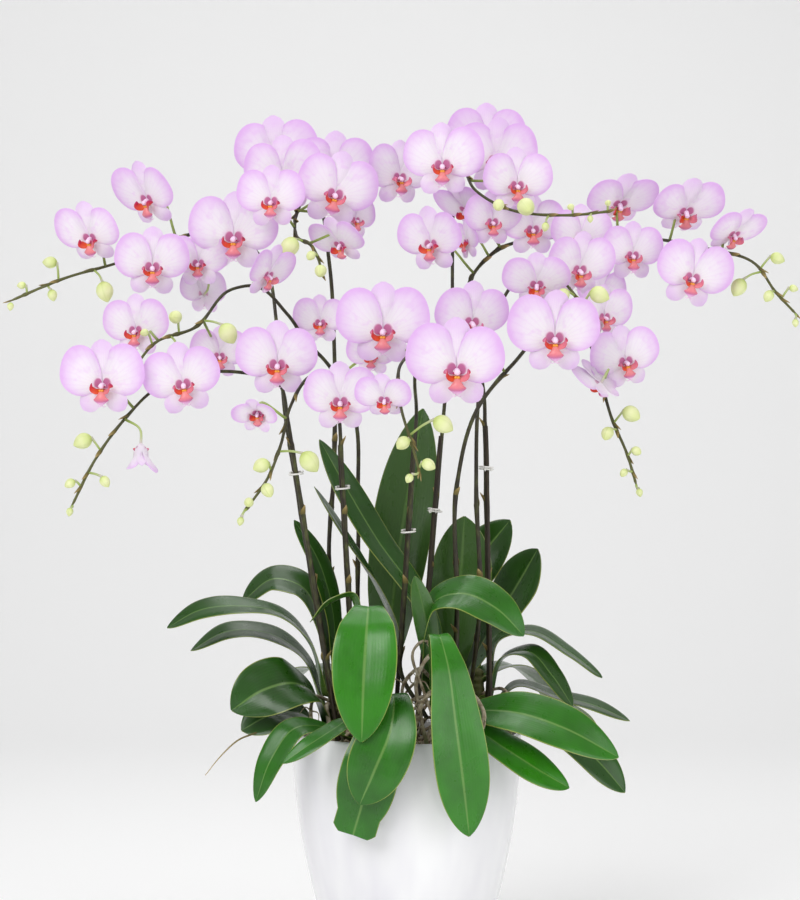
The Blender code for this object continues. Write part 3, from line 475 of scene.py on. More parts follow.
@dataclass(frozen=True)
class LeafCuticle(Finish):
    """A thick orchid leaf under its waxy cuticle: deep green, glossy, paler beneath."""

    name: str = "waxy_leaf_cuticle"
    slot: str = "leaf"
    roughness: float = 0.30
    ior: float = 1.46
    coat: float = 0.30
    coat_roughness: float = 0.20

    def dress(self, tissue: Tissue) -> None:
        """A pale midrib, thin yellow-green margins, and long veins 1.3 mm apart drawn at 3 mm.

        Args:
            tissue: The material's nodes.
        """
        across = tissue.layer("across")
        along = tissue.layer("along")
        aside = tissue.sums("ABSOLUTE", across)
        cloud = tissue.grain(0.030, 4.0)
        wander = tissue.sums("MULTIPLY", tissue.grain(0.020, 2.0), 2.0)
        vein = tissue.sums("SINE", tissue.sums("ADD", tissue.sums("MULTIPLY", across, 62.0), wander))
        # The tone adds painted light: leaves that stand further forward get a brighter green.
        depth = tissue.sums("MULTIPLY_ADD", cloud, 0.55, tissue.sums("MULTIPLY", tissue.layer("tone"), 0.60))
        blade = tissue.ramp(depth, [(0.18, "#113006"), (0.50, "#1d5407"), (0.90, "#2f820c")])
        # Painted shade: leaves further back, by their rank, are dulled towards olive.
        blade = tissue.mix(tissue.sums("MULTIPLY", tissue.layer("rank"), 0.45), blade, "#2f4f17")
        blade = tissue.mix(tissue.sums("MULTIPLY", tissue.band(vein, 0.2, 1.0), 0.07), blade, "#4f8a30")
        blade = tissue.mix(tissue.sums("MULTIPLY", tissue.band(aside, 0.075, 0.012), 0.50), blade, "#86ac5c")
        blade = tissue.mix(tissue.sums("MULTIPLY", tissue.band(along, 0.14, 0.0), 0.6), blade, "#8fa052")
        blade = tissue.mix(tissue.sums("MULTIPLY", tissue.band(aside, 0.955, 0.995), 0.75), blade, "#a9b456")
        blade = tissue.mix(tissue.sums("MULTIPLY", tissue.layer("under"), 0.55), blade, "#44682a")
        tissue.color(blade)
        # Cuticle thickness varies, which breaks up the gloss along the blade.
        gloss = add_node(tissue.tree, "ShaderNodeMapRange", None,
                         {"Value": tissue.grain(0.012, 3.0, (1, 1, 0.6)), "From Min": 0.3, "From Max": 0.7,
                          "To Min": 0.24, "To Max": 0.40}).outputs["Result"]
        tissue.tree.links.new(gloss, tissue.shader.inputs["Roughness"])
        tissue.relief(tissue.sums("MULTIPLY_ADD", vein, 0.25, cloud), 0.25 * MM, 0.30)
        tissue.glow_through(0.08, tissue.mix(0.5, blade, "#7fae2a"))


@dataclass(frozen=True)
class PetalTissue(Finish):
    """A thin petal of sparkling cells: nearly white, flushed lilac towards its margins."""

    name: str = "lilac_flushed_petal"
    slot: str = "flower_spike"
    roughness: float = 0.52
    ior: float = 1.40
    specular: float = 0.35
    sheen: float = 0.10

    def dress(self, tissue: Tissue) -> None:
        """Flushed margins, a rose base, and fanned veins 1.6 mm apart.

        Args:
            tissue: The material's nodes.
        """
        along = tissue.layer("along")
        across = tissue.layer("across")
        petal = tissue.layer("rank")
        tone = tissue.layer("tone")
        cloud = tissue.grain(0.016, 3.0)
        reach = tissue.sums("ADD", along, tissue.sums("MULTIPLY_ADD", cloud, 0.24, -0.12))
        bloom = tissue.ramp(reach, [(0.05, "#fdeefb"), (0.18, "#ffffff"), (0.58, "#fefbff"),
                                    (0.82, "#f9e8fd"), (0.97, "#f1cdf9")])
        sepal = tissue.ramp(reach, [(0.10, "#ffffff"), (0.60, "#fdf7fe"), (0.95, "#f5dffb")])
        face = tissue.mix(petal, sepal, bloom)
        inner = tissue.sums("MULTIPLY", tissue.band(across, 0.40, 0.98), petal)
        face = tissue.mix(tissue.sums("MULTIPLY", inner, 0.30), face, "#f2d2f9")
        flush = tissue.sums("MULTIPLY", tissue.band(tone, 0.25, 1.0), tissue.band(along, 0.15, 0.9))
        face = tissue.mix(tissue.sums("MULTIPLY", flush, 0.20), face, "#eec4f8")
        vein = tissue.sums("SINE", tissue.sums("MULTIPLY_ADD", across, 38.0,
                                               tissue.sums("MULTIPLY", cloud, 5.0)))
        face = tissue.mix(tissue.sums("MULTIPLY", tissue.band(vein, 0.3, 1.0), 0.07), face, "#e6b4f0")
        mottle = tissue.band(tissue.grain(0.009, 2.0), 0.52, 0.72)
        face = tissue.mix(tissue.sums("MULTIPLY", mottle, 0.30), face, "#f3cffa")
        base = tissue.sums("MULTIPLY", tissue.band(along, 0.135, 0.085), petal)
        face = tissue.mix(tissue.sums("MULTIPLY", base, 0.75), face, "#c92f8e")
        face = tissue.mix(tissue.sums("MULTIPLY", tissue.layer("under"), 0.45), face, "#f8eefb")
        tissue.color(face)
        tissue.relief(tissue.sums("MULTIPLY_ADD", vein, 0.4, cloud), 0.25 * MM, 0.35)
        tissue.glow_through(0.36, tissue.mix(0.15, face, "#f8d0f8"))


@dataclass(frozen=True)
class LipTissue(Finish):
    """The waxy lip and column: yellow callus, coral throat, magenta lobes and pink ends."""

    name: str = "waxy_coral_lip"
    slot: str = "flower_spike"
    roughness: float = 0.36
    ior: float = 1.42
    coat: float = 0.15

    def dress(self, tissue: Tissue) -> None:
        """The rank says which colour a place on the lip takes, from callus to pale point.

        Args:
            tissue: The material's nodes.
        """
        freckle = tissue.grain(1.6 * MM, 2.0)
        zone = tissue.sums("ADD", tissue.layer("rank"), tissue.sums("MULTIPLY_ADD", freckle, 0.10, -0.05))
        lobe = tissue.ramp(zone, [(0.00, "#f5b744"), (0.12, "#ec8a36"), (0.24, "#e8672c"),
                                  (0.42, "#e04a2c"), (0.56, "#cf2a48"), (0.70, "#b3186a"),
                                  (0.82, "#e49ad6"), (0.92, "#f8d0f5"), (1.00, "#fce6fa")])
        tissue.color(tissue.mix(tissue.sums("MULTIPLY", tissue.layer("under"), 0.35), lobe, "#efb6dc"))
        tissue.relief(freckle, 0.2 * MM, 0.4)


@dataclass(frozen=True)
class BudSkin(Finish):
    """A closed bud: smooth yellow-green sepals that meet at three seams."""

    name: str = "closed_bud_skin"
    slot: str = "flower_spike"
    roughness: float = 0.42
    ior: float = 1.42

    def dress(self, tissue: Tissue) -> None:
        """Greener at the stalk and along the seams, cream in the middle.

        Args:
            tissue: The material's nodes.
        """
        along = tissue.layer("along")
        skin = tissue.ramp(along, [(0.00, "#bfd36c"), (0.22, "#e6f1a6"), (0.60, "#f8fbc8"),
                                   (0.92, "#edf3b0")])
        seam = tissue.band(tissue.layer("across"), 0.35, 0.0)
        skin = tissue.mix(tissue.sums("MULTIPLY", seam, 0.32), skin, "#b4c860")
        skin = tissue.mix(tissue.sums("MULTIPLY", tissue.layer("tone"), 0.25), skin, "#cbdc80")
        tissue.color(skin)
        tissue.relief(tissue.grain(3.0 * MM), 0.2 * MM, 0.3)
        tissue.glow_through(0.15, skin)


@dataclass(frozen=True)
class PedicelSkin(Finish):
    """A flower's fleshy stalk: pale green at the spike, whitening towards the flower."""

    name: str = "fleshy_pedicel_skin"
    slot: str = "flower_spike"
    roughness: float = 0.45

    def dress(self, tissue: Tissue) -> None:
        """Green runs into pinkish white over the stalk's length.

        Args:
            tissue: The material's nodes.
        """
        stalk = tissue.ramp(tissue.layer("along"), [(0.00, "#5f6b2e"), (0.20, "#a3b860"),
                                                    (0.70, "#cfd8a4"), (1.00, "#f1dcef")])
        tissue.color(tissue.mix(tissue.sums("MULTIPLY", tissue.layer("tone"), 0.6), stalk, "#97ab52"))
        tissue.glow_through(0.12, stalk)


@dataclass(frozen=True)
class SpikeSkin(Finish):
    """A ripened flower stem: dark olive brown with greener stretches, slightly glossy."""

    name: str = "ripened_spike_skin"
    slot: str = "flower_spike"
    roughness: float = 0.46

    def dress(self, tissue: Tissue) -> None:
        """Blotches about 12 mm long; the stem greens towards its tip.

        Args:
            tissue: The material's nodes.
        """
        blotch = tissue.grain(6.0 * MM, 3.0, (1.0, 1.0, 0.5))
        skin = tissue.ramp(blotch, [(0.30, "#211a12"), (0.52, "#33301a"), (0.74, "#4d5226")])
        skin = tissue.mix(tissue.band(tissue.layer("along"), 0.72, 1.0), skin, "#5a5c2c")
        tissue.color(skin)
        tissue.relief(blotch, 0.3 * MM, 0.5)


@dataclass(frozen=True)
class PaperyBract(Finish):
    """A dry scale at a stem's joint: thin, tan and papery."""

    name: str = "papery_bract"
    slot: str = "flower_spike"
    roughness: float = 0.75

    def dress(self, tissue: Tissue) -> None:
        """Tan at the tip and olive where it clasps the stem."""
        stops = [(0.0, "#4c4a24"), (0.5, "#83723f"), (1.0, "#b09a6a")]
        tissue.color(tissue.ramp(tissue.layer("along"), stops))


@dataclass(frozen=True)
class SplitCane(Finish):
    """A split cane stick, stained dark: fine upright grain and a dull face."""

    name: str = "stained_split_cane"
    slot: str = "stick"
    roughness: float = 0.58

    def dress(self, tissue: Tissue) -> None:
        """Grain about 0.5 mm wide, drawn at 1.5 mm to show.

        Args:
            tissue: The material's nodes.
        """
        grain = tissue.grain(1.5 * MM, 3.0, (1.0, 1.0, 0.05))
        tissue.color(tissue.ramp(grain, [(0.30, "#1d1710"), (0.55, "#332a1a"), (0.80, "#4f4429")]))
        tissue.relief(grain, 0.2 * MM, 0.5)


@dataclass(frozen=True)
class ClipPlastic(Finish):
    """A moulded polypropylene stem clip: off-white, waxy and slightly see-through."""

    name: str = "moulded_polypropylene_clip"
    slot: str = "clip"
    roughness: float = 0.38
    ior: float = 1.49

    def dress(self, tissue: Tissue) -> None:
        """A weathered off-white with a trace of dust."""
        tissue.color(tissue.mix(tissue.grain(2.0 * MM), "#d9d8cf", "#f2f2ee"))


@dataclass(frozen=True)
class SeamlessPaper(Finish):
    """Matt white studio paper that the pot stands on."""

    name: str = "seamless_paper"
    slot: str = ""
    roughness: float = 0.9

    def dress(self, tissue: Tissue) -> None:
        """One even white."""
        tissue.color("#fbfbfb")


# Shapes

class Clay:
    """Gathers closed pieces into one mesh, with numbers at each vertex for the finishes.

    The numbers are along (0 at a piece's foot to 1 at its end), across (-1 to 1, or the share
    of a turn round a tube), under (1 on an underside), tone (a piece's own shade; on a leaf it
    also holds painted light, higher the further forward the leaf stands) and rank (what kind of
    piece it is, or its place in a finish's colour order; on a leaf, how far back it stands,
    which the leaf's finish turns into painted shade).
    """

    LAYERS = ("along", "across", "under", "tone", "rank")

    def __init__(self) -> None:
        """Starts empty."""
        self.points: list[np.ndarray] = []
        self.faces: list[tuple] = []
        self.layers: dict[str, list[np.ndarray]] = {name: [] for name in self.LAYERS}
        self.count = 0

    def add(self, points: np.ndarray, faces: list[tuple], **numbers: object) -> None:
        """Adds a closed piece.

        Args:
            points: Its vertices, one row each.
            faces: Its faces, as numbers of its own vertices.
            numbers: A number, or one number per vertex, for each layer that isn't 0.
        """
        self.points.append(points)
        self.faces.extend(tuple(i + self.count for i in face) for face in faces)
        for name in self.LAYERS:
            value = np.asarray(numbers.get(name, 0.0), float)
            self.layers[name].append(np.broadcast_to(value, (len(points),)))
        self.count += len(points)

    def sheet(self, grid: np.ndarray, thickness: float, thin_edge: float = 0.35,
              tone: float = 0.0, rank: object = 0.0) -> None:
        """Adds a thin closed shell over a grid of points, thinner at its rim.

        Args:
            grid: Points as rows along the piece by columns across it.
            thickness: Its thickness in the middle, in metres.
            thin_edge: Its thickness at the rim, as a share of that.
            tone: Its shade; on a leaf this also holds painted light.
            rank: Its kind, or on a leaf how far back it stands, for painted shade; one number or one per row.
        """
        rows, columns = grid.shape[:2]
        run = np.gradient(grid, axis=0)
        fall = np.gradient(grid, axis=1)
        normal = np.cross(fall, run)
        normal /= np.linalg.norm(normal, axis=2, keepdims=True) + 1e-12
        along = np.linspace(0, 1, rows)[:, None] * np.ones(columns)
        across = np.ones(rows)[:, None] * np.linspace(-1, 1, columns)
        body = 1 - (1 - thin_edge) * np.maximum(np.abs(across) ** 4, along ** 6)
        half = normal * (thickness / 2 * body)[..., None]
        points = np.concatenate([(grid + half).reshape(-1, 3), (grid - half).reshape(-1, 3)])
        number = np.arange(rows * columns).reshape(rows, columns)
        back = number + rows * columns
        faces = []
        for r in range(rows - 1):
            for c in range(columns - 1):
                faces.append((number[r, c], number[r, c + 1], number[r + 1, c + 1], number[r + 1, c]))
                faces.append((back[r, c], back[r + 1, c], back[r + 1, c + 1], back[r, c + 1]))
        rim = [*number[0, :], *number[1:, -1], *number[-1, -2::-1], *number[-2:0:-1, 0]]
        for first, second in zip(rim, rim[1:] + rim[:1]):
            faces.append((first, first + rows * columns, second + rows * columns, second))
        ranks = np.broadcast_to(np.asarray(rank, float).reshape(-1, 1), (rows, columns)).ravel()
        self.add(points, faces, along=np.tile(along.ravel(), 2), across=np.tile(across.ravel(), 2),
                 under=np.repeat([0.0, 1.0], rows * columns), tone=tone, rank=np.tile(ranks, 2))

    def ribbon(self, route: list[Vector], across: Vector, halves: list[float], columns: int,
               lift: float, thickness: float, **numbers: object) -> None:
        """Adds a strap that follows a route, with its edges raised over its midrib.

        Args:
            route: Places along the midrib.
            across: The strap's sideways direction, before it is squared to the route.
            halves: Half its width at each place.
            columns: Points across it.
            lift: How far its edges rise, per half width.
            thickness: Its thickness in the middle.
            numbers: The sheet's tone, rank and thin_edge.
        """
        last = len(route) - 1
        grid = np.empty((last + 1, columns, 3))
        shares = np.linspace(-1, 1, columns)
        for index, place in enumerate(route):
            heading = route[min(index + 1, last)] - route[max(index - 1, 0)]
            side = (across - heading * across.dot(heading) / heading.length_squared).normalized()
            above = side.cross(heading).normalized()
            grid[index] = (np.array(place) + np.outer(shares, side) * halves[index]
                           + np.outer(shares ** 2, above) * halves[index] * lift)
        self.sheet(grid, thickness, **numbers)

    def tube(self, route: list[Vector], radii: list[float], sides: int = 8,
             section: object = None, **numbers: object) -> None:
        """Adds a round piece that follows a route, closed at both ends.

        Args:
            route: Places along its middle.
            radii: Its radius at each place.
            sides: Points round it.
            section: Gives the radius's share at an angle, or nothing for a circle.
            numbers: Layer values; along and across are filled in where they aren't given.
        """
        last = len(route) - 1
        side = None
        rings = []
        angles = np.arange(sides) / sides * 2 * math.pi
        shape = np.array([section(a) if section else 1.0 for a in angles])
        for index, place in enumerate(route):
            heading = (route[min(index + 1, last)] - route[max(index - 1, 0)]).normalized()
            start = side or (UP if abs(heading.z) < 0.9 else Vector((1.0, 0.0, 0.0)))
            side = (start - heading * start.dot(heading)).normalized()
            other = heading.cross(side)
            reach = (shape * radii[index])[:, None]
            rings.append(np.array(place) + reach * (np.outer(np.cos(angles), side)
                                                    + np.outer(np.sin(angles), other)))
        ends = [np.array([route[0]]), np.array([route[-1]])]
        points = np.concatenate(rings + ends)
        faces = []
        for r in range(last):
            for s in range(sides):
                t = (s + 1) % sides
                faces.append((r * sides + s, r * sides + t, (r + 1) * sides + t, (r + 1) * sides + s))
        foot, tip = (last + 1) * sides, (last + 1) * sides + 1
        for s in range(sides):
            t = (s + 1) % sides
            faces.append((foot, t, s))
            faces.append((tip, last * sides + s, last * sides + t))
        along = np.append(np.repeat(np.linspace(0, 1, last + 1), sides), [0.0, 1.0])
        numbers.setdefault("along", along)
        numbers.setdefault("across", np.append(np.tile(angles / (2 * math.pi), last + 1), [0.0, 0.0]))
        self.add(points, faces, **numbers)

    def piece(self, name: str, finish: Finish, replaced: tuple = (), sharp: float = 50.0) -> bpy.types.Object:
        """Makes the mesh a piece of the model.

        Args:
            name: The piece's name.
            finish: What it is made of.
            replaced: The CAD nodes that it stands for.
            sharp: Faces that meet at more degrees than this keep a crisp edge.

        Returns:
            The object, riding on the root body.
        """
        mesh = bpy.data.meshes.new(name)
        mesh.from_pydata(np.concatenate(self.points).tolist(), [], self.faces)
        for layer, values in self.layers.items():
            made = mesh.attributes.new(layer, "FLOAT", "POINT")
            made.data.foreach_set("value", np.concatenate(values).astype(np.float32))
        mesh.shade_smooth()
        mesh.set_sharp_from_angle(angle=math.radians(sharp))
        mesh.materials.append(finish.material())
        item = bpy.data.objects.new(name, mesh)
        bpy.context.scene.collection.objects.link(item)
        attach(item, "root")
        if replaced:
            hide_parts(*replaced)
        log.info("%s: %d faces", name, len(mesh.polygons))
        return item


# Pot and medium

def pot_outer_radius(height: float) -> float:
    """The pot's tulip shape: quick at the foot, nearly upright below the rim."""
    swell = math.sin(height / POT_HEIGHT * math.pi / 2) ** POT_SWELL
    return POT_FOOT_RADIUS + (RIM_RADIUS - POT_FOOT_RADIUS) * swell


@dataclass
class Pot:
    """The turned pot."""

    wall: float = 0.006
    floor: float = 0.010
    foot_groove: float = 0.0015
    sides: int = 128
    rows: int = 26
    rim_steps: int = 8

    def build(self) -> None:
        """Turns the outside, the rounded rim, the inside and the flat foot."""
        level = POT_HEIGHT - self.wall / 2
        outside = []
        for row in range(1, self.rows + 1):
            height = level * row / self.rows
            outside.append((pot_outer_radius(height), height))
        rim = []
        for step in range(1, self.rim_steps):
            angle = math.pi * step / self.rim_steps
            rim.append((RIM_RADIUS - self.wall / 2 + self.wall / 2 * math.cos(angle),
                        level + self.wall / 2 * math.sin(angle)))
        inside = []
        for row in range(self.rows, -1, -1):
            height = self.floor + (level - self.floor) * row / self.rows
            inside.append((pot_outer_radius(height) - self.wall, height))
        foot = pot_outer_radius(0.0)
        profile = [(foot - 2 * self.foot_groove, 0.0), (foot - self.foot_groove / 2, self.foot_groove / 2),
                   *outside, *rim, *inside]
        angles = np.arange(self.sides) / self.sides * 2 * math.pi
        rings = [np.stack([r * np.cos(angles), r * np.sin(angles), np.full(self.sides, z)], 1)
                 for r, z in profile]
        faces = []
        for ring in range(len(profile) - 1):
            for s in range(self.sides):
                t = (s + 1) % self.sides
                a, b = ring * self.sides, (ring + 1) * self.sides
                faces.append((a + s, a + t, b + t, b + s))
        last = (len(profile) - 1) * self.sides
        faces.append(tuple(range(self.sides))[::-1])
        faces.append(tuple(range(last, last + self.sides)))
        clay = Clay()
        clay.add(np.concatenate(rings), faces)
        clay.piece("pot_glazed", GlazedStoneware(), ("pot",), 60.0)


@dataclass
class PottingMedium:
    """The plug of fine bark with loose chips and tufts of moss on it."""

    chips: int = 300
    chip_reach: float = 0.103
    tufts: int = 16
    tuft_reach: float = 0.098
    strands: int = 34
    depth: float = 0.150
    wall_gap: float = 0.0066
    sides: int = 48
    seed: int = 11

    def build(self) -> None:
        """Makes the plug, the chips and the moss."""
        self.plug()
        self.chip_layer()
        self.moss()

    def plug(self) -> None:
        """A plug that fills the pot, crumbled on top."""
        clay = Clay()
        rows = [(0.0, -self.depth), (0.6, -self.depth), (1.0, -self.depth), (1.0, -self.depth / 2)]
        top_shares = (1.0, 0.93, 0.84, 0.74, 0.62, 0.5, 0.38, 0.26, 0.14, 0.05)
        rows += [(share, -0.002) for share in top_shares]
        rng = random.Random(self.seed)
        sides = self.sides
        points = []
        for share, drop in rows:
            level = MEDIUM_TOP + drop
            reach = (pot_outer_radius(level) - self.wall_gap) * share
            for s in range(sides):
                angle = 2 * math.pi * s / sides
                crumb = rng.uniform(-0.0015, 0.0015) if 0.05 < share < 1.0 and drop > -0.01 else 0.0
                points.append((reach * math.cos(angle), reach * math.sin(angle), level + crumb))
        faces = []
        for ring in range(1, len(rows) - 1):
            for s in range(sides):
                t = (s + 1) % sides
                a, b = ring * sides, (ring + 1) * sides
                faces.append((a + s, a + t, b + t, b + s))
        faces.append(tuple(range(sides, 2 * sides))[::-1])
        faces.append(tuple(range((len(rows) - 1) * sides, len(rows) * sides)))
        used = np.array(points)[sides:]
        clay.add(used, [tuple(i - sides for i in face) for face in faces], tone=0.15)
        clay.piece("medium_plug", PineBark(), ("potting_medium",), 40.0)

    def chip_layer(self) -> None:
        """Flat torn chips, 8 to 20 mm long, lying every way."""
        clay = Clay()
        rng = random.Random(self.seed + 1)
        for _ in range(self.chips):
            angle = rng.uniform(0, 2 * math.pi)
            reach = self.chip_reach * math.sqrt(rng.random())
            middle = Vector((reach * math.cos(angle), reach * math.sin(angle),
                             MEDIUM_TOP + rng.uniform(0.0, 0.006)))
            length = rng.uniform(0.008, 0.020)
            lie = Vector((rng.uniform(-1, 1), rng.uniform(-1, 1), rng.uniform(-0.35, 0.35))).normalized()
            route = [middle + lie * length * share for share in (-0.5, -0.38, -0.1, 0.2, 0.4, 0.5)]
            radii = [length * rng.uniform(0.22, 0.36) * share
                     for share in (0.55, 0.95, 1.0, 1.0, 0.85, 0.5)]
            flat = rng.uniform(0.35, 0.6)
            turn = rng.uniform(-0.5, 0.5)
            edge = [rng.uniform(0.8, 1.2) for _ in range(7)]
            clay.tube(route, radii, 7, lambda a: (1 - (1 - flat) * abs(math.cos(a + turn)))
                      * edge[round(a / (2 * math.pi) * 7) % 7], tone=rng.random())
        clay.piece("medium_bark_chips", PineBark(), (), 25.0)

    def moss(self) -> None:
        """Tufts of short curled strands between the chips."""
        clay = Clay()
        rng = random.Random(self.seed + 2)
        for _ in range(self.tufts):
            angle = rng.uniform(0, 2 * math.pi)
            reach = self.tuft_reach * math.sqrt(rng.random())
            middle = Vector((reach * math.cos(angle), reach * math.sin(angle), MEDIUM_TOP))
            for _ in range(self.strands):
                start = middle + Vector((rng.gauss(0, 0.008), rng.gauss(0, 0.008), 0.0))
                lean = Vector((rng.uniform(-1, 1), rng.uniform(-1, 1), rng.uniform(0.3, 1.3))) * 0.006
                curl = Vector((rng.uniform(-1, 1), rng.uniform(-1, 1), rng.uniform(-0.6, 0.6))) * 0.006
                route = smooth_route([start, start + lean, start + lean + curl], 3)
                clay.tube(route, [0.0007, 0.0010, 0.0011, 0.0011, 0.0010, 0.0008, 0.0003], 5,
                          tone=rng.random())
        clay.piece("medium_moss", Sphagnum())


# Sticks and clips

@dataclass
class Stick:
    """A stiff support: its foot and top in the foliage drawing, and the side its stem is on."""

    name: str
    foot: tuple
    top: tuple
    side: tuple
    clip_level: float

    def at(self, height: float) -> Vector:
        """The stick's centre.

        Args:
            height: The place's height in metres.

        Returns:
            Its centre there.
        """
        foot = foliage(*self.foot)
        top = foliage(*self.top)
        return foot.lerp(top, (height - foot.z) / (top.z - foot.z))

    def beside(self, height: float, far_side: bool = False) -> Vector:
        """A stem's centre beside the stick.

        Args:
            height: The place's height in metres.
            far_side: Whether it is on the stick's other side, where it also clears the clip.

        Returns:
            The stem's centre.
        """
        away = Vector((*self.side, 0.0)).normalized()
        reach = STICK_RADIUS + STEM_RADIUS + STEM_CLEARANCE
        if far_side:
            reach = -(reach + 2 * CLIP_WIRE_RADIUS + STEM_CLEARANCE)
        return self.at(height) + away * reach

    def tied_stem(self, far_side: bool = False) -> list[Vector]:
        """The stretch of a stem that runs up beside the stick and a little past its top.

        Args:
            far_side: Whether the stem is on the stick's other side.

        Returns:
            Places along the stem.
        """
        top_level = self.top[2]
        levels = (STICK_MEETS_STEM, TIED_FROM, (TIED_FROM + top_level) / 2, top_level,
                  top_level + FREE_ABOVE_STICK)
        return [self.beside(foliage(0.0, 0.0, level).z, far_side) for level in levels]

    def build(self) -> None:
        """Makes the stick and its clip."""
        foot = MEDIUM_TOP - STICK_DEPTH
        top = foliage(*self.top).z
        clay = Clay()
        rows = 24
        route = [self.at(foot + (top - foot) * row / rows) for row in range(rows + 1)]
        radii = [STICK_RADIUS * (1.0 + 0.07 * math.sin(row * 2.4)) * 0.96 for row in range(rows + 1)]
        radii[-1] *= 0.7
        clay.tube(route, radii, 12, lambda a: 1.0 - 0.10 * abs(math.sin(2 * a)))
        clay.piece(self.name.replace("stick", "cane"), SplitCane(), (self.name,))
        self.clip()

    def clip(self) -> None:
        """A sprung ring round the stick and its stem, with two finger tabs and a coil."""
        stem = self.beside(foliage(0.0, 0.0, self.clip_level).z)
        post = self.at(stem.z)
        middle = (stem + post) / 2
        toward = (stem - post).normalized()
        other = UP.cross(toward)
        ring = STICK_RADIUS + STEM_RADIUS + STEM_CLEARANCE * 1.5 + CLIP_WIRE_RADIUS
        clay = Clay()
        for lift, turns in ((0.0, 1.0), (0.0022, 0.55)):
            count = 40
            loop = []
            for step in range(count + 1):
                angle = 2 * math.pi * turns * step / count + (0.0 if turns == 1.0 else 0.7)
                loop.append(middle + (toward * math.cos(angle) + other * math.sin(angle)) * ring
                            + UP * (lift + 0.0006 * math.sin(angle)))
            clay.tube(loop, [CLIP_WIRE_RADIUS * 0.95] * (count + 1), 8)
        for way in (-1.0, 1.0):
            root = middle - toward * ring * 0.9 + other * way * ring * 0.35
            tip = root - toward * 0.0030 + other * way * 0.0012
            clay.ribbon([root.lerp(tip, share) for share in (0.0, 0.35, 0.7, 1.0)], UP,
                        [0.0014, 0.0018, 0.0021, 0.0014], 5, 0.1, 0.0012, thin_edge=0.7)
        clay.piece(self.name.replace("stick", "stem_clip"), ClipPlastic(),
                   (self.name.replace("stick", "clip"),))


STICKS = [
    Stick("stick_left", (-6.8, -3.4, 22), (-12.0, -3.2, 54), (0.2, -1.0), 51.0),
    Stick("stick_centre_left", (-5.2, -2.0, 22), (-7.0, -2.6, 54), (0.3, -1.0), 49.5),
    Stick("stick_centre", (-1.4, -2.8, 22), (0.7, -2.8, 54), (0.2, -1.0), 45.0),
    Stick("stick_centre_right", (0.9, 3.4, 22), (3.6, 3.4, 55), (0.3, 1.0), 47.0),
    Stick("stick_right", (8.8, -2.2, 22), (8.3, -1.4, 56), (-0.2, 1.0), 51.5),
]
STICK = {stick.name: stick for stick in STICKS}


# Crowns, roots and leaves

CROWNS = {
    "crown_front_left": (-4.5, -4.5),
    "crown_front_right": (3.6, -5.0),
    "crown_left": (-7.6, 0.6),
    "crown_right": (7.6, 2.6),
    "crown_back_left": (-3.0, 6.4),
    "crown_back_right": (4.2, 7.0),
}


def crown_centre(name: str, level: float = 0.0) -> Vector:
    """A crown's middle at a drawn level."""
    return foliage(*CROWNS[name], level)


@dataclass
class Crown:
    """A plant's short stem, with the roots that it throws over the medium."""

    name: str
    height: float = 0.085
    gap: float = 0.0004
    roots: int = 9
    root_limit: float = 0.101

    def build(self) -> None:
        """Makes the stem, sheathed by old leaf bases, and its roots."""
        self.stem()
        self.root_tangle()

    def stem(self) -> None:
        """A tapering stem with ringed swellings."""
        base = crown_centre(self.name)
        base.z = MEDIUM_TOP + self.gap
        clay = Clay()
        rows = 28
        route = [base + UP * self.height * row / rows for row in range(rows + 1)]
        radii = [CROWN_RADIUS * (1.0 - 0.42 * row / rows) * (1.0 + 0.06 * math.sin(row * 1.9))
                 for row in range(rows + 1)]
        radii[-1] *= 0.4
        clay.tube(route, radii, 16, tone=0.4)
        clay.piece(self.name.replace("crown", "ringed_crown"), CrownTissue(), (self.name,), 60.0)

    def root_tangle(self) -> None:
        """Thick roots that leave the stem, arch over and wander across the bark."""
        clay = Clay()
        rng = random.Random(self.name)
        centre = crown_centre(self.name)
        for index in range(self.roots):
            angle = 2 * math.pi * (index + rng.uniform(-0.3, 0.3)) / self.roots
            out = Vector((math.cos(angle), math.sin(angle), 0.0))
            sideways = Vector((-out.y, out.x, 0.0))
            level = MEDIUM_TOP + rng.uniform(0.004, 0.045)
            start = Vector((centre.x, centre.y, level))
            reach = rng.uniform(0.020, 0.034)
            places = [start, start + out * reach * 0.6 + UP * rng.uniform(0.000, 0.010)]
            place = start + out * reach
            for hop in range(4):
                drop = MEDIUM_TOP + max(0.004, (level - MEDIUM_TOP) * (0.5 - hop * 0.25))
                place = place + out * rng.uniform(0.006, 0.016) + sideways * rng.uniform(-0.016, 0.016)
                place.z = drop + rng.uniform(0.0, 0.003)
                flat = math.hypot(place.x, place.y)
                if flat > self.root_limit:
                    place.x *= self.root_limit / flat
                    place.y *= self.root_limit / flat
                places.append(place.copy())
            route = smooth_route(places, 6)
            thick = rng.uniform(0.0016, 0.0024)
            count = len(route)
            radii = [thick * (1.0 + 0.10 * math.sin(i * 1.3 + index)) for i in range(count)]
            radii[-1] *= 0.4
            radii[-2] *= 0.8
            clay.tube(route, radii, 8, tone=rng.random())
        clay.piece(self.name.replace("crown", "roots"), RootSkin())


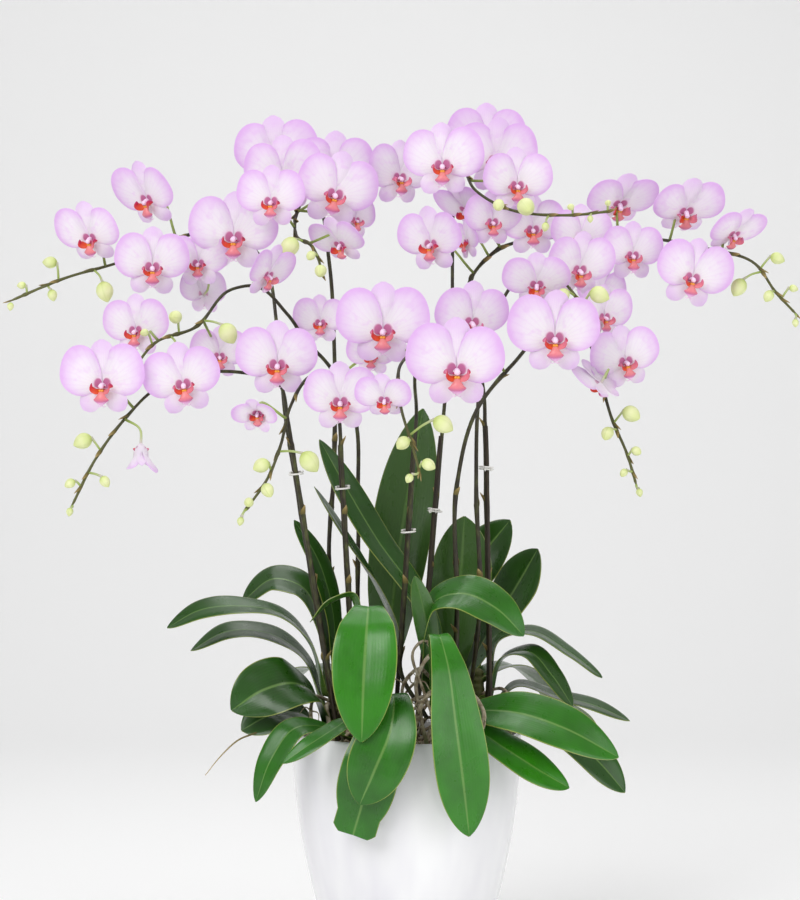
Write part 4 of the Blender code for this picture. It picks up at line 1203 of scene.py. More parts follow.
@dataclass
class AerialRoots:
    """Roots that climb clear of the pot between the front leaves."""

    routes: list = field(default_factory=lambda: [
        [(3.4, -5.4, 30.8), (2.4, -8.0, 32.6), (1.0, -9.6, 30.4), (1.4, -10.6, 26.6), (2.2, -9.8, 23.0)],
        [(3.8, -5.6, 31.6), (4.6, -8.2, 33.6), (5.0, -10.2, 31.0), (3.4, -11.0, 27.2), (2.6, -10.4, 23.4)],
        [(3.0, -5.6, 29.4), (1.2, -7.6, 31.2), (-0.4, -9.4, 29.6), (0.2, -10.6, 25.8), (0.8, -10.2, 22.8)],
        [(4.0, -5.8, 29.0), (3.2, -8.8, 29.4), (1.8, -10.4, 28.4), (0.6, -11.2, 25.2), (-0.6, -10.2, 22.6)],
        [(3.6, -5.2, 32.2), (1.8, -7.0, 34.0), (0.6, -8.8, 33.0), (1.6, -10.0, 29.4), (3.0, -10.4, 25.2),
         (3.4, -9.8, 22.8)],
        [(4.4, -5.4, 28.2), (6.6, -7.8, 28.6), (7.8, -9.2, 26.8), (6.8, -9.8, 23.6)],
        [(3.2, -5.2, 28.4), (0.2, -7.2, 27.8), (-2.2, -8.4, 25.8), (-3.4, -9.4, 22.8)],
        [(7.8, 2.4, 27.6), (10.0, 0.4, 28.4), (11.2, -2.2, 26.6), (10.4, -4.2, 23.2)],
        [(-7.8, 0.4, 27.0), (-9.6, -2.6, 27.8), (-9.8, -5.2, 25.6), (-8.2, -6.8, 22.8)],
        [(-3.2, 6.6, 28.0), (-5.2, 9.2, 28.6), (-4.0, 10.6, 25.8), (-1.8, 10.2, 22.8)],
        [(4.4, 7.2, 28.2), (2.0, 9.4, 28.8), (-0.4, 10.4, 26.4), (-0.6, 9.4, 22.8)],
        [(4.6, 7.0, 27.0), (7.4, 8.0, 27.8), (9.2, 6.6, 25.4), (8.8, 4.8, 22.8)]])
    radii: tuple = (0.0021, 0.0017, 0.0019, 0.0024, 0.0015, 0.0022)

    def build(self) -> None:
        """Makes each root, with its dry side branches."""
        clay = Clay()
        rng = random.Random(5)
        for index, places in enumerate(self.routes):
            route = smooth_route([foliage(*place) for place in places], 8)
            thick = self.radii[index % len(self.radii)]
            radii = [thick * (1.0 + 0.09 * math.sin(i * 0.9 + index)) for i in range(len(route))]
            radii[-1] *= 0.5
            clay.tube(route, radii, 9, tone=rng.random())
            for _ in range(2):
                start = route[rng.randrange(6, len(route) - 6)]
                drift = Vector((rng.uniform(-1, 1), rng.uniform(-0.8, 0.2), rng.uniform(-0.9, 0.5))) * 0.011
                fall = Vector((rng.uniform(-1, 1), rng.uniform(-1, 1), rng.uniform(-1.6, -0.2))) * 0.009
                twig = smooth_route([start, start + drift, start + drift + fall], 5)
                clay.tube(twig, [thick * 0.5 * (1 - 0.06 * i) for i in range(len(twig))], 6,
                          tone=rng.random())
        clay.piece("aerial_roots", RootSkin())


@dataclass
class Leaf:
    """A strap leaf.

    base is the drawn level where it leaves its crown, route the drawn points it then follows,
    width its share of LEAF_WIDTH, and turn the angles, in degrees, that its upper face is
    rolled about the midrib at the base and at the tip. across sets the leaf's sideways
    direction where it isn't level and square to its heading. blunt is the width of the very
    tip over the leaf's width, and widest the share of the length where the leaf is widest. A
    higher neck keeps the leaf narrow for longer, until it has bent over.
    """

    name: str
    crown: str
    base: float
    route: list
    width: float = 1.0
    turn: tuple = (0.0, 0.0)
    across: tuple = None
    blunt: float = 0.10
    widest: float = 0.58
    neck: float = 1.0
    young: bool = False

    # Points along each stretch of the midrib, and across the blade.
    STEPS = 14
    COLUMNS = 17
    # From how far back, and over what depth, a leaf's green brightens towards the front: painted light on the
    # leaves in front and painted shade on those behind.
    SHADE_FROM = 0.01
    SHADE_DEPTH = 0.11

    def half_width(self, share: float) -> float:
        """The leaf's outline: a narrow foot, widest past the middle, a pointed tip.

        Args:
            share: How far along the leaf, from 0 at its foot to 1.

        Returns:
            Half its width there over its widest.
        """
        if share < self.widest:
            swell = math.sin(share / self.widest * math.pi / 2) ** self.neck
            return 0.5 * (LEAF_FOOT_SHARE + (1 - LEAF_FOOT_SHARE) * swell)
        tip = (share - self.widest) / (1 - self.widest)
        # A blunt tip keeps its width, and any other is drawn in to a point.
        floor = self.blunt if self.blunt > 0.3 else self.blunt * 0.35
        return 0.5 * max((1 - min(tip, 1.0) ** 2.2) ** 0.7, floor * (1 - max(tip - 0.9, 0.0) * 3))

    def build(self) -> None:
        """Makes the blade: clasping at its foot, channelled along its midrib, a little wavy."""
        rng = random.Random(self.name)
        centre = crown_centre(self.crown, self.base)
        first = foliage(*self.route[0])
        outward = Vector((first.x - centre.x, first.y - centre.y, 0.0)).normalized()
        foot = centre + outward * (CROWN_RADIUS + LEAF_FOOT_GAP)
        midrib = smooth_route([foot, *[foliage(*place) for place in self.route]], self.STEPS)
        sheath = [centre + outward * CROWN_RADIUS * share - UP * 0.006 * (1 - share)
                  for share in (0.25, 0.8)]
        midrib = sheath + midrib
        last = len(midrib) - 1
        heading = midrib[-1] - midrib[2]
        heading.z = 0.0
        side_hint = Vector(self.across) if self.across else heading.cross(UP)
        shares = np.linspace(-1, 1, self.COLUMNS)
        grid = np.empty((last + 1, self.COLUMNS, 3))
        wave, phase = rng.uniform(0.010, 0.024), rng.uniform(0.0, 6.3)
        cycles = rng.uniform(2.0, 3.2)
        for index, place in enumerate(midrib):
            share = max(index - 2, 0) / (last - 2)
            along = (midrib[min(index + 1, last)] - midrib[max(index - 1, 0)]).normalized()
            side = (side_hint - along * side_hint.dot(along)).normalized()
            roll = math.radians(self.turn[0] + (self.turn[1] - self.turn[0]) * share)
            side = Matrix.Rotation(roll, 3, along) @ side
            above = side.cross(along)
            half = self.half_width(share) * self.width * LEAF_WIDTH
            channel = LEAF_CHANNEL + 0.75 * max(0.0, 1 - share / 0.16) ** 2
            lift = channel * (0.35 * np.abs(shares) + 0.65 * shares ** 2)
            lift -= 0.10 * np.abs(shares) ** 5 * share
            turns = cycles * 2 * math.pi * share + phase + 1.7 * np.sign(shares)
            swell = wave * np.sin(turns) * shares ** 2
            groove = -0.022 * np.exp(-(shares / 0.06) ** 2)
            rise = (lift + groove) * half + swell * LEAF_WIDTH * 0.5 * min(share * 3, 1.0)
            grid[index] = (np.array(place) + np.outer(shares, side) * half + np.outer(rise, above))
        # How far forward the leaf stands. It raises the tone, a painted light that brightens the front
        # leaves, and its opposite goes into rank, a painted shade that dulls the leaves further back.
        front = min(max((self.SHADE_FROM - float(grid[:, :, 1].mean())) / self.SHADE_DEPTH, 0.0), 1.0)
        clay = Clay()
        tone = 0.35 * rng.random() + 0.65 * front
        clay.sheet(grid, LEAF_THICKNESS, 0.30, tone=tone, rank=1.0 - front)
        nodes = () if self.young else (self.name,)
        clay.piece(self.name.replace("leaf", "blade"), LeafCuticle(), nodes, 60.0)


LEAVES = [
    Leaf("leaf_front_left", "crown_front_left", 26.5,
         [(-4.2, -7.5, 33.0), (-3.9, -9.8, 37.6), (-4.0, -12.4, 36.0), (-4.3, -14.3, 31.0),
          (-4.5, -15.0, 24.6)], 1.08, widest=0.74, neck=6.0),
    Leaf("leaf_front_left_low", "crown_front_left", 25.0,
         [(-2.6, -8.5, 28.0), (-1.4, -11.5, 28.8), (-1.6, -14.0, 25.8), (-3.2, -14.6, 21.8),
          (-4.7, -14.2, 18.3)], 1.0, widest=0.72, neck=5.0),
    Leaf("leaf_front_left_hem", "crown_front_left", 23.5,
         [(-3.6, -8.5, 25.2), (-3.2, -11.4, 26.0), (-3.3, -13.0, 23.6), (-4.2, -12.9, 19.2),
          (-5.4, -12.5, 15.0)], 1.0, blunt=0.75, widest=0.74, neck=4.0),
    Leaf("leaf_front_right", "crown_front_right", 26.0,
         [(3.1, -7.8, 31.6), (3.2, -10.4, 34.8), (4.0, -12.6, 32.2), (4.8, -13.9, 26.4),
          (5.6, -13.9, 20.2), (6.2, -13.3, 15.0)], 0.98, widest=0.76, neck=5.0),
    Leaf("leaf_right_front", "crown_front_right", 26.5,
         [(7.4, -6.8, 26.8), (11.0, -8.6, 26.8), (16.0, -9.6, 25.3), (21.4, -9.6, 22.4)],
         1.0, (25.0, 50.0), neck=1.6),
    Leaf("leaf_right_front_low", "crown_front_right", 23.8,
         [(7.0, -8.2, 24.8), (10.0, -9.6, 23.2), (13.2, -10.0, 21.2), (16.4, -9.6, 19.3)],
         0.75, (20.0, 40.0)),
    Leaf("leaf_right_tip", "crown_right", 24.2,
         [(12.0, 0.6, 26.2), (16.0, -2.2, 24.4), (20.0, -3.2, 21.0), (22.6, -3.4, 18.0)],
         0.80, (20.0, 35.0)),
    Leaf("leaf_right_far", "crown_right", 25.6,
         [(11.5, 3.4, 28.4), (16.0, 4.2, 27.2), (20.0, 4.2, 26.2), (23.8, 4.0, 24.6)],
         0.65, (0.0, 25.0)),
    Leaf("leaf_right_under", "crown_right", 27.2,
         [(10.4, 1.6, 31.7), (12.8, 0.8, 32.2), (15.2, 0.2, 29.8), (17.4, -0.2, 26.6)],
         0.70, (0.0, 28.0)),
    Leaf("leaf_right_arch", "crown_right", 29.2,
         [(9.8, 2.9, 33.4), (13.0, 3.0, 34.2), (17.2, 3.2, 32.0), (20.8, 3.4, 29.3)],
         0.65, (0.0, 25.0)),
    Leaf("leaf_centre_right", "crown_front_right", 29.0,
         [(2.0, -5.6, 34.5), (3.0, -6.3, 38.0), (5.6, -7.2, 38.8), (9.0, -7.8, 37.4),
          (11.9, -8.2, 34.6)], 0.95, (10.0, 50.0)),
    Leaf("leaf_upright_right_low", "crown_back_right", 27.6,
         [(9.2, 8.2, 34.2), (12.0, 8.2, 38.8), (14.2, 7.4, 42.8)], 1.05, (30.0, 50.0)),
    Leaf("leaf_upright_right", "crown_back_right", 29.8,
         [(4.4, 12.0, 36.2), (8.0, 12.8, 41.5), (11.4, 12.0, 45.8)], 0.96, (40.0, 55.0)),
    Leaf("leaf_upright_centre", "crown_back_right", 30.4,
         [(5.4, 5.8, 36.0), (5.9, 5.4, 41.0), (6.2, 5.2, 46.4)], 1.1, across=(-1.0, 0.2, 0.0)),
    Leaf("leaf_tall", "crown_back_left", 29.6,
         [(-1.4, 8.6, 38.0), (0.0, 9.3, 48.0), (1.8, 9.2, 58.0)], 1.1, across=(-1.0, -0.1, 0.0)),
    Leaf("leaf_strap_upper", "crown_front_right", 30.4,
         [(2.8, -1.4, 34.5), (0.6, 0.6, 38.8), (-3.0, 0.9, 43.8), (-6.4, 0.9, 49.5),
          (-9.2, 1.0, 54.6)], 0.72, (0.0, -35.0)),
    Leaf("leaf_strap_lower", "crown_back_left", 28.0,
         [(-1.2, 3.6, 33.5), (-3.2, 3.0, 39.0), (-6.2, 2.6, 43.8), (-9.8, 2.6, 49.6)],
         0.8, (0.0, -30.0)),
    Leaf("leaf_left_small", "crown_left", 29.4,
         [(-7.9, 3.8, 36.0), (-9.4, 4.4, 41.5), (-12.0, 4.8, 46.0)], 0.5, (0.0, -20.0)),
    Leaf("leaf_left_arch", "crown_left", 28.0,
         [(-9.2, 2.0, 35.0), (-11.2, 2.4, 39.0), (-14.0, 2.6, 39.8), (-17.4, 2.6, 37.4)],
         0.85, (0.0, -45.0)),
    Leaf("leaf_left_long", "crown_left", 27.8,
         [(-10.2, -0.9, 33.4), (-13.2, -1.9, 36.4), (-17.3, -2.6, 37.2), (-21.5, -2.6, 36.8),
          (-24.9, -2.6, 35.0)], 0.66, (0.0, -38.0)),
    Leaf("leaf_left_long_low", "crown_left", 25.6,
         [(-11.0, 2.8, 31.6), (-14.5, 2.9, 33.9), (-19.0, 2.6, 34.2), (-22.9, 2.6, 32.2)],
         0.68, (0.0, -34.0)),
    Leaf("leaf_left_broad", "crown_left", 24.2,
         [(-10.0, -2.4, 28.4), (-11.9, -4.4, 29.4), (-14.8, -5.6, 28.8), (-18.0, -6.0, 26.8)],
         1.12, (-8.0, -72.0)),
    Leaf("leaf_left_broad_low", "crown_left", 23.2,
         [(-11.0, -2.0, 26.0), (-14.0, -3.4, 26.0), (-17.1, -4.0, 24.5)], 0.85, (-10.0, -50.0)),
    Leaf("leaf_left_down", "crown_front_left", 23.6,
         [(-8.6, -7.4, 25.2), (-11.4, -9.0, 25.2), (-13.6, -9.6, 22.4), (-15.3, -9.4, 17.9)],
         0.55, (-10.0, -50.0)),
    Leaf("leaf_rim_narrow", "crown_front_left", 24.6,
         [(-6.0, -8.8, 26.0), (-7.2, -11.4, 25.5), (-9.6, -12.6, 24.1), (-12.4, -12.8, 22.2)],
         0.4, (0.0, -30.0)),
    Leaf("leaf_back_left", "crown_back_left", 26.0,
         [(-3.5, 9.5, 31.5), (-4.0, 12.5, 33.0), (-4.5, 15.0, 29.0), (-4.8, 16.0, 22.0)], 1.0,
         widest=0.68),
    Leaf("leaf_back_right", "crown_back_right", 25.8,
         [(4.6, 10.4, 30.5), (5.0, 13.4, 31.8), (5.5, 15.8, 27.6), (5.8, 16.4, 20.5)], 1.0,
         widest=0.68),
    Leaf("leaf_back_far_left", "crown_back_left", 24.4,
         [(-7.0, 9.0, 28.4), (-10.5, 11.5, 29.6), (-14.0, 13.5, 27.0), (-16.5, 14.5, 22.0)], 0.9),
    Leaf("leaf_back_far_right", "crown_back_right", 24.2,
         [(8.0, 10.0, 28.6), (11.5, 12.0, 29.8), (15.0, 13.5, 27.4), (17.5, 14.3, 22.5)], 0.9),
    Leaf("leaf_back_low", "crown_right", 23.4,
         [(10.6, 5.4, 26.0), (14.6, 8.2, 26.6), (18.6, 8.8, 24.8), (21.6, 9.6, 21.0)], 0.8),
]

# Slim young leaves that stand among the others.
YOUNG_LEAVES = [
    Leaf("leaf_young_left", "crown_front_left", 30.0,
         [(-4.9, -5.9, 36.0), (-5.7, -6.3, 38.6), (-7.8, -6.7, 38.0), (-9.9, -6.9, 35.9)], 0.22,
         (20.0, 30.0), young=True),
    Leaf("leaf_young_right", "crown_front_right", 30.0,
         [(2.3, -6.4, 33.5), (1.7, -6.9, 37.2), (0.8, -7.1, 40.6)], 0.40, (60.0, 70.0), young=True),
]

@dataclass
class DryLeafTip:
    """A withered thread of leaf that hangs clear of the pot at the left."""

    route: tuple = ((-15.2, -9.4, 24.9), (-17.0, -9.6, 24.2), (-18.6, -9.7, 22.8), (-20.4, -9.6, 20.6))

    def build(self) -> None:
        """Makes the thread."""
        clay = Clay()
        route = smooth_route([foliage(*place) for place in self.route], 6)
        clay.tube(route, [0.0011 - 0.0008 * i / len(route) for i in range(len(route))], 6, tone=0.6)
        clay.piece("dry_leaf_thread", PaperyBract())


# Flowers

class Opening(Enum):
    """How far a flower has opened: how many degrees its tepals still stand forward."""

    OPEN = 0.0
    HALF = 34.0
    BELL = 58.0


@dataclass
class Bloom:
    """An open flower: its drawn centre, its share of FLOWER_WIDTH, and where it looks.

    turn is degrees to the right of the show side, nod degrees below level, and roll degrees
    that its top leans to the right.
    """

    place: tuple
    size: float = 1.0
    turn: float = 0.0
    nod: float = 8.0
    roll: float = 0.0
    opening: Opening = Opening.OPEN

    # A petal's reach by how far round its fan it is, from its lower edge to its upper one.
    FAN = [(-1.0, 0.12), (-0.8, 0.27), (-0.6, 0.38), (-0.3, 0.495), (0.0, 0.552), (0.3, 0.590),
           (0.5, 0.580), (0.7, 0.520), (0.85, 0.420), (1.0, 0.21)]
    FAN_MIDDLE = 25.0
    FAN_SPREAD = 62.0
    # Half widths along the top sepal and the two lower ones.
    TOP_SEPAL = [(0.0, 0.030), (0.2, 0.085), (0.45, 0.142), (0.68, 0.158), (0.86, 0.122),
                 (0.95, 0.078), (1.0, 0.020)]
    LOWER_SEPAL = [(0.0, 0.035), (0.2, 0.082), (0.5, 0.126), (0.75, 0.122), (0.9, 0.084),
                   (0.97, 0.048), (1.0, 0.014)]

    # The lip's courses are places of (side, up, out) in flower widths. Half widths are in flower
    # widths too, and zones are places in the lip's colours, from its callus to its pale point.
    MIDDLE_LOBE = [(0, -0.03, 0.015), (0, -0.080, 0.085), (0, -0.136, 0.115), (0, -0.192, 0.100),
                   (0, -0.232, 0.064)]
    MIDDLE_HALVES = [(0.0, 0.022), (0.25, 0.042), (0.45, 0.070), (0.62, 0.092), (0.78, 0.066),
                     (0.92, 0.024), (1.0, 0.005)]
    MIDDLE_ZONES = [(0.0, 0.16), (0.28, 0.22), (0.48, 0.34), (0.60, 0.54), (0.72, 0.80),
                    (0.86, 0.92), (1.0, 0.97)]
    SIDE_LOBE = [(0.020, -0.040, 0.020), (0.060, -0.044, 0.062), (0.102, -0.006, 0.084),
                 (0.112, 0.048, 0.078)]
    SIDE_HALVES = [(0.0, 0.024), (0.35, 0.050), (0.7, 0.064), (0.9, 0.044), (1.0, 0.012)]
    SIDE_ZONES = [(0.0, 0.26), (0.4, 0.38), (0.75, 0.52), (1.0, 0.70)]
    TENDRIL = [(0.006, -0.228, 0.066), (0.030, -0.246, 0.044), (0.050, -0.236, 0.026)]
    # Small rounded parts: their course, their radii and their place in the colours.
    CALLUS_KNOB = ([(0.013, -0.040, 0.050), (0.014, -0.046, 0.066), (0.012, -0.052, 0.078)],
                   (0.006, 0.014, 0.018, 0.019, 0.016, 0.010, 0.004), 0.04)
    COLUMN_MARK = ([(0.030, 0.004, 0.022), (0.033, -0.004, 0.046), (0.026, -0.012, 0.066)],
                   (0.004, 0.010, 0.013, 0.013, 0.011, 0.007, 0.003), 0.68)
    COLUMN = [(0, 0.012, -0.045), (0, 0.016, 0.020), (0, 0.010, 0.062), (0, -0.006, 0.092)]
    COLUMN_RADII = (0.020, 0.026, 0.031, 0.034, 0.034, 0.033, 0.032, 0.032, 0.034, 0.035, 0.032,
                    0.024, 0.010)

    def centre(self) -> Vector:
        """The flower's middle, in metres."""
        return flower(*self.place)

    def facing(self) -> Vector:
        """The way that it looks.

        Returns:
            A direction one long.
        """
        turn = math.radians(self.turn)
        nod = math.radians(self.nod)
        return Vector((math.sin(turn) * math.cos(nod), -math.cos(turn) * math.cos(nod), -math.sin(nod)))

    def axes(self) -> Matrix:
        """The flower's own axes: X to its side, Y up it, Z out of its face."""
        return Matrix.Rotation(math.radians(self.roll), 3, self.facing()) @ facing_frame(self.facing())

    def placed(self, points: np.ndarray) -> np.ndarray:
        """Moves points from the flower's own drawing, in flower widths, to their place.

        Args:
            points: Rows of (side, up, out).

        Returns:
            The same places in metres, with the tepals stood forward by the flower's opening.
        """
        width = self.size * FLOWER_WIDTH
        flat = points.reshape(-1, 3).copy()
        reach = np.hypot(flat[:, 0], flat[:, 1])
        stand = math.radians(self.opening.value) * np.clip(reach / 0.22, 0.0, 1.0)
        flat[:, 2] += np.sin(stand) * reach
        flat[:, :2] *= np.cos(stand)[:, None]
        world = flat @ np.array(self.axes()).T * width + np.array(self.centre())
        return world.reshape(points.shape)

    def petal(self, clay: Clay, side: float, rng: random.Random, tone: float) -> None:
        """Adds one broad fan-shaped petal, softly cupped and ruffled at its edge.

        Args:
            clay: Where it is added.
            side: 1 for the right petal, -1 for the left one.
            rng: Its own small differences.
            tone: Its shade.
        """
        rows, columns = 15, 27
        phase, ruffle = rng.uniform(0, 6.3), rng.uniform(0.014, 0.026)
        scale = rng.uniform(0.96, 1.06)
        tilt = rng.uniform(-0.03, 0.03)
        grid = np.empty((rows, columns, 3))
        for c in range(columns):
            v = -1 + 2 * c / (columns - 1)
            angle = math.radians(self.FAN_MIDDLE + self.FAN_SPREAD * v)
            reach = curve_value(self.FAN, v) * scale
            for r in range(rows):
                u = 0.07 + 0.93 * (r / (rows - 1)) ** 0.9
                out = (-0.028 + 0.085 * u - 0.062 * u * u - 0.030 * v * v * u
                       + ruffle * u ** 3 * math.sin(4.4 * v + phase) + tilt * u)
                grid[r, c] = (side * reach * u * math.cos(angle), reach * u * math.sin(angle), out)
        if side > 0:
            grid = grid[:, ::-1]
        clay.sheet(self.placed(grid), TEPAL_THICKNESS, TEPAL_EDGE, tone=tone, rank=1.0)

    def sepal(self, clay: Clay, angle: float, length: float, halves: list, back: float,
              rng: random.Random, tone: float) -> None:
        """Adds one sepal behind the petals.

        Args:
            clay: Where it is added.
            angle: Degrees from upright, towards the flower's right.
            length: From the flower's middle to its tip, in flower widths.
            halves: Knots of its half width along its length.
            back: How far behind the petals it lies, in flower widths.
            rng: Its own small differences.
            tone: Its shade.
        """
        rows, columns = 15, 11
        way = math.radians(angle + rng.uniform(-3, 3))
        ahead = np.array((math.sin(way), math.cos(way), 0.0))
        beside = np.array((math.cos(way), -math.sin(way), 0.0))
        curl = rng.uniform(-0.05, 0.02)
        grid = np.empty((rows, columns, 3))
        for r in range(rows):
            u = r / (rows - 1)
            half = curve_value(halves, u)
            for c in range(columns):
                v = -1 + 2 * c / (columns - 1)
                out = -back + 0.035 * math.sin(math.pi * u) - 0.20 * half * v * v + curl * u * u
                grid[r, c] = ahead * (0.02 + (length - 0.02) * u) + beside * half * v + (0, 0, out)
        clay.sheet(self.placed(grid), TEPAL_THICKNESS, TEPAL_EDGE, tone=tone, rank=0.0)

    def tepals(self, clay: Clay, rng: random.Random) -> None:
        """Adds the top sepal, the two lower sepals and the two petals.

        Args:
            clay: Where they are added.
            rng: Gives the flower its shade and its small differences.
        """
        tone = rng.random()
        self.sepal(clay, 0.0, 0.57, self.TOP_SEPAL, 0.050, rng, tone)
        for side in (-1.0, 1.0):
            self.sepal(clay, side * 141.0, 0.385, self.LOWER_SEPAL, 0.045, rng, tone)
            self.petal(clay, side, rng, tone)

    def at(self, places: list[tuple], side: float = 1.0) -> list[Vector]:
        """Places of (side, up, out) in flower widths, mirrored to a side, brought to the flower."""
        frame, width = self.axes(), self.size * FLOWER_WIDTH
        return [self.centre() + frame @ Vector((side * x, y, z)) * width for x, y, z in places]

    def lobe(self, clay: Clay, places: list[Vector], across: Vector, halves: list, zones: list,
             **form: object) -> None:
        """Adds one lobe of the lip as a curved strap.

        Args:
            clay: Where it is added.
            places: The places that it passes through.
            across: Its sideways direction.
            halves: Knots of its half width, in flower widths.
            zones: Knots of its place in the lip's colours.
            form: The ribbon's columns, lift, thickness and tone.
        """
        route = smooth_route(places, 4)
        width = self.size * FLOWER_WIDTH
        shares = [i / (len(route) - 1) for i in range(len(route))]
        widths = [curve_value(halves, share) * width for share in shares]
        ranks = [curve_value(zones, share) for share in shares]
        clay.ribbon(route, across, widths, thin_edge=0.5, rank=ranks, **form)

    def lip(self, clay: Clay, rng: random.Random) -> None:
        """Adds the column, the callus, the pointed middle lobe, its tendrils and the side lobes.

        Args:
            clay: Where they are added.
            rng: Gives the lip's own shade.
        """
        frame = self.axes()
        width = self.size * FLOWER_WIDTH
        tone = rng.random()
        self.lobe(clay, self.at(self.MIDDLE_LOBE), frame @ Vector((1.0, 0.0, 0.0)), self.MIDDLE_HALVES,
                  self.MIDDLE_ZONES, columns=9, lift=0.42, thickness=0.0016, tone=tone)
        for side in (-1.0, 1.0):
            self.lobe(clay, self.at(self.SIDE_LOBE, side), frame @ Vector((side * 0.25, 0.55, -0.65)),
                      self.SIDE_HALVES, self.SIDE_ZONES, columns=7, lift=0.35 * side, thickness=0.0014,
                      tone=tone)
            tendril = smooth_route(self.at(self.TENDRIL, side), 4)
            clay.tube(tendril, [0.0006 - 0.00005 * i for i in range(len(tendril))], 5, rank=0.93)
            for places, radii, rank in (self.CALLUS_KNOB, self.COLUMN_MARK):
                clay.tube(smooth_route(self.at(places, side), 3), [width * r for r in radii], 8, rank=rank)
        clay.tube(smooth_route(self.at(self.COLUMN), 4), [r * width for r in self.COLUMN_RADII], 12,
                  tone=tone, rank=0.97)


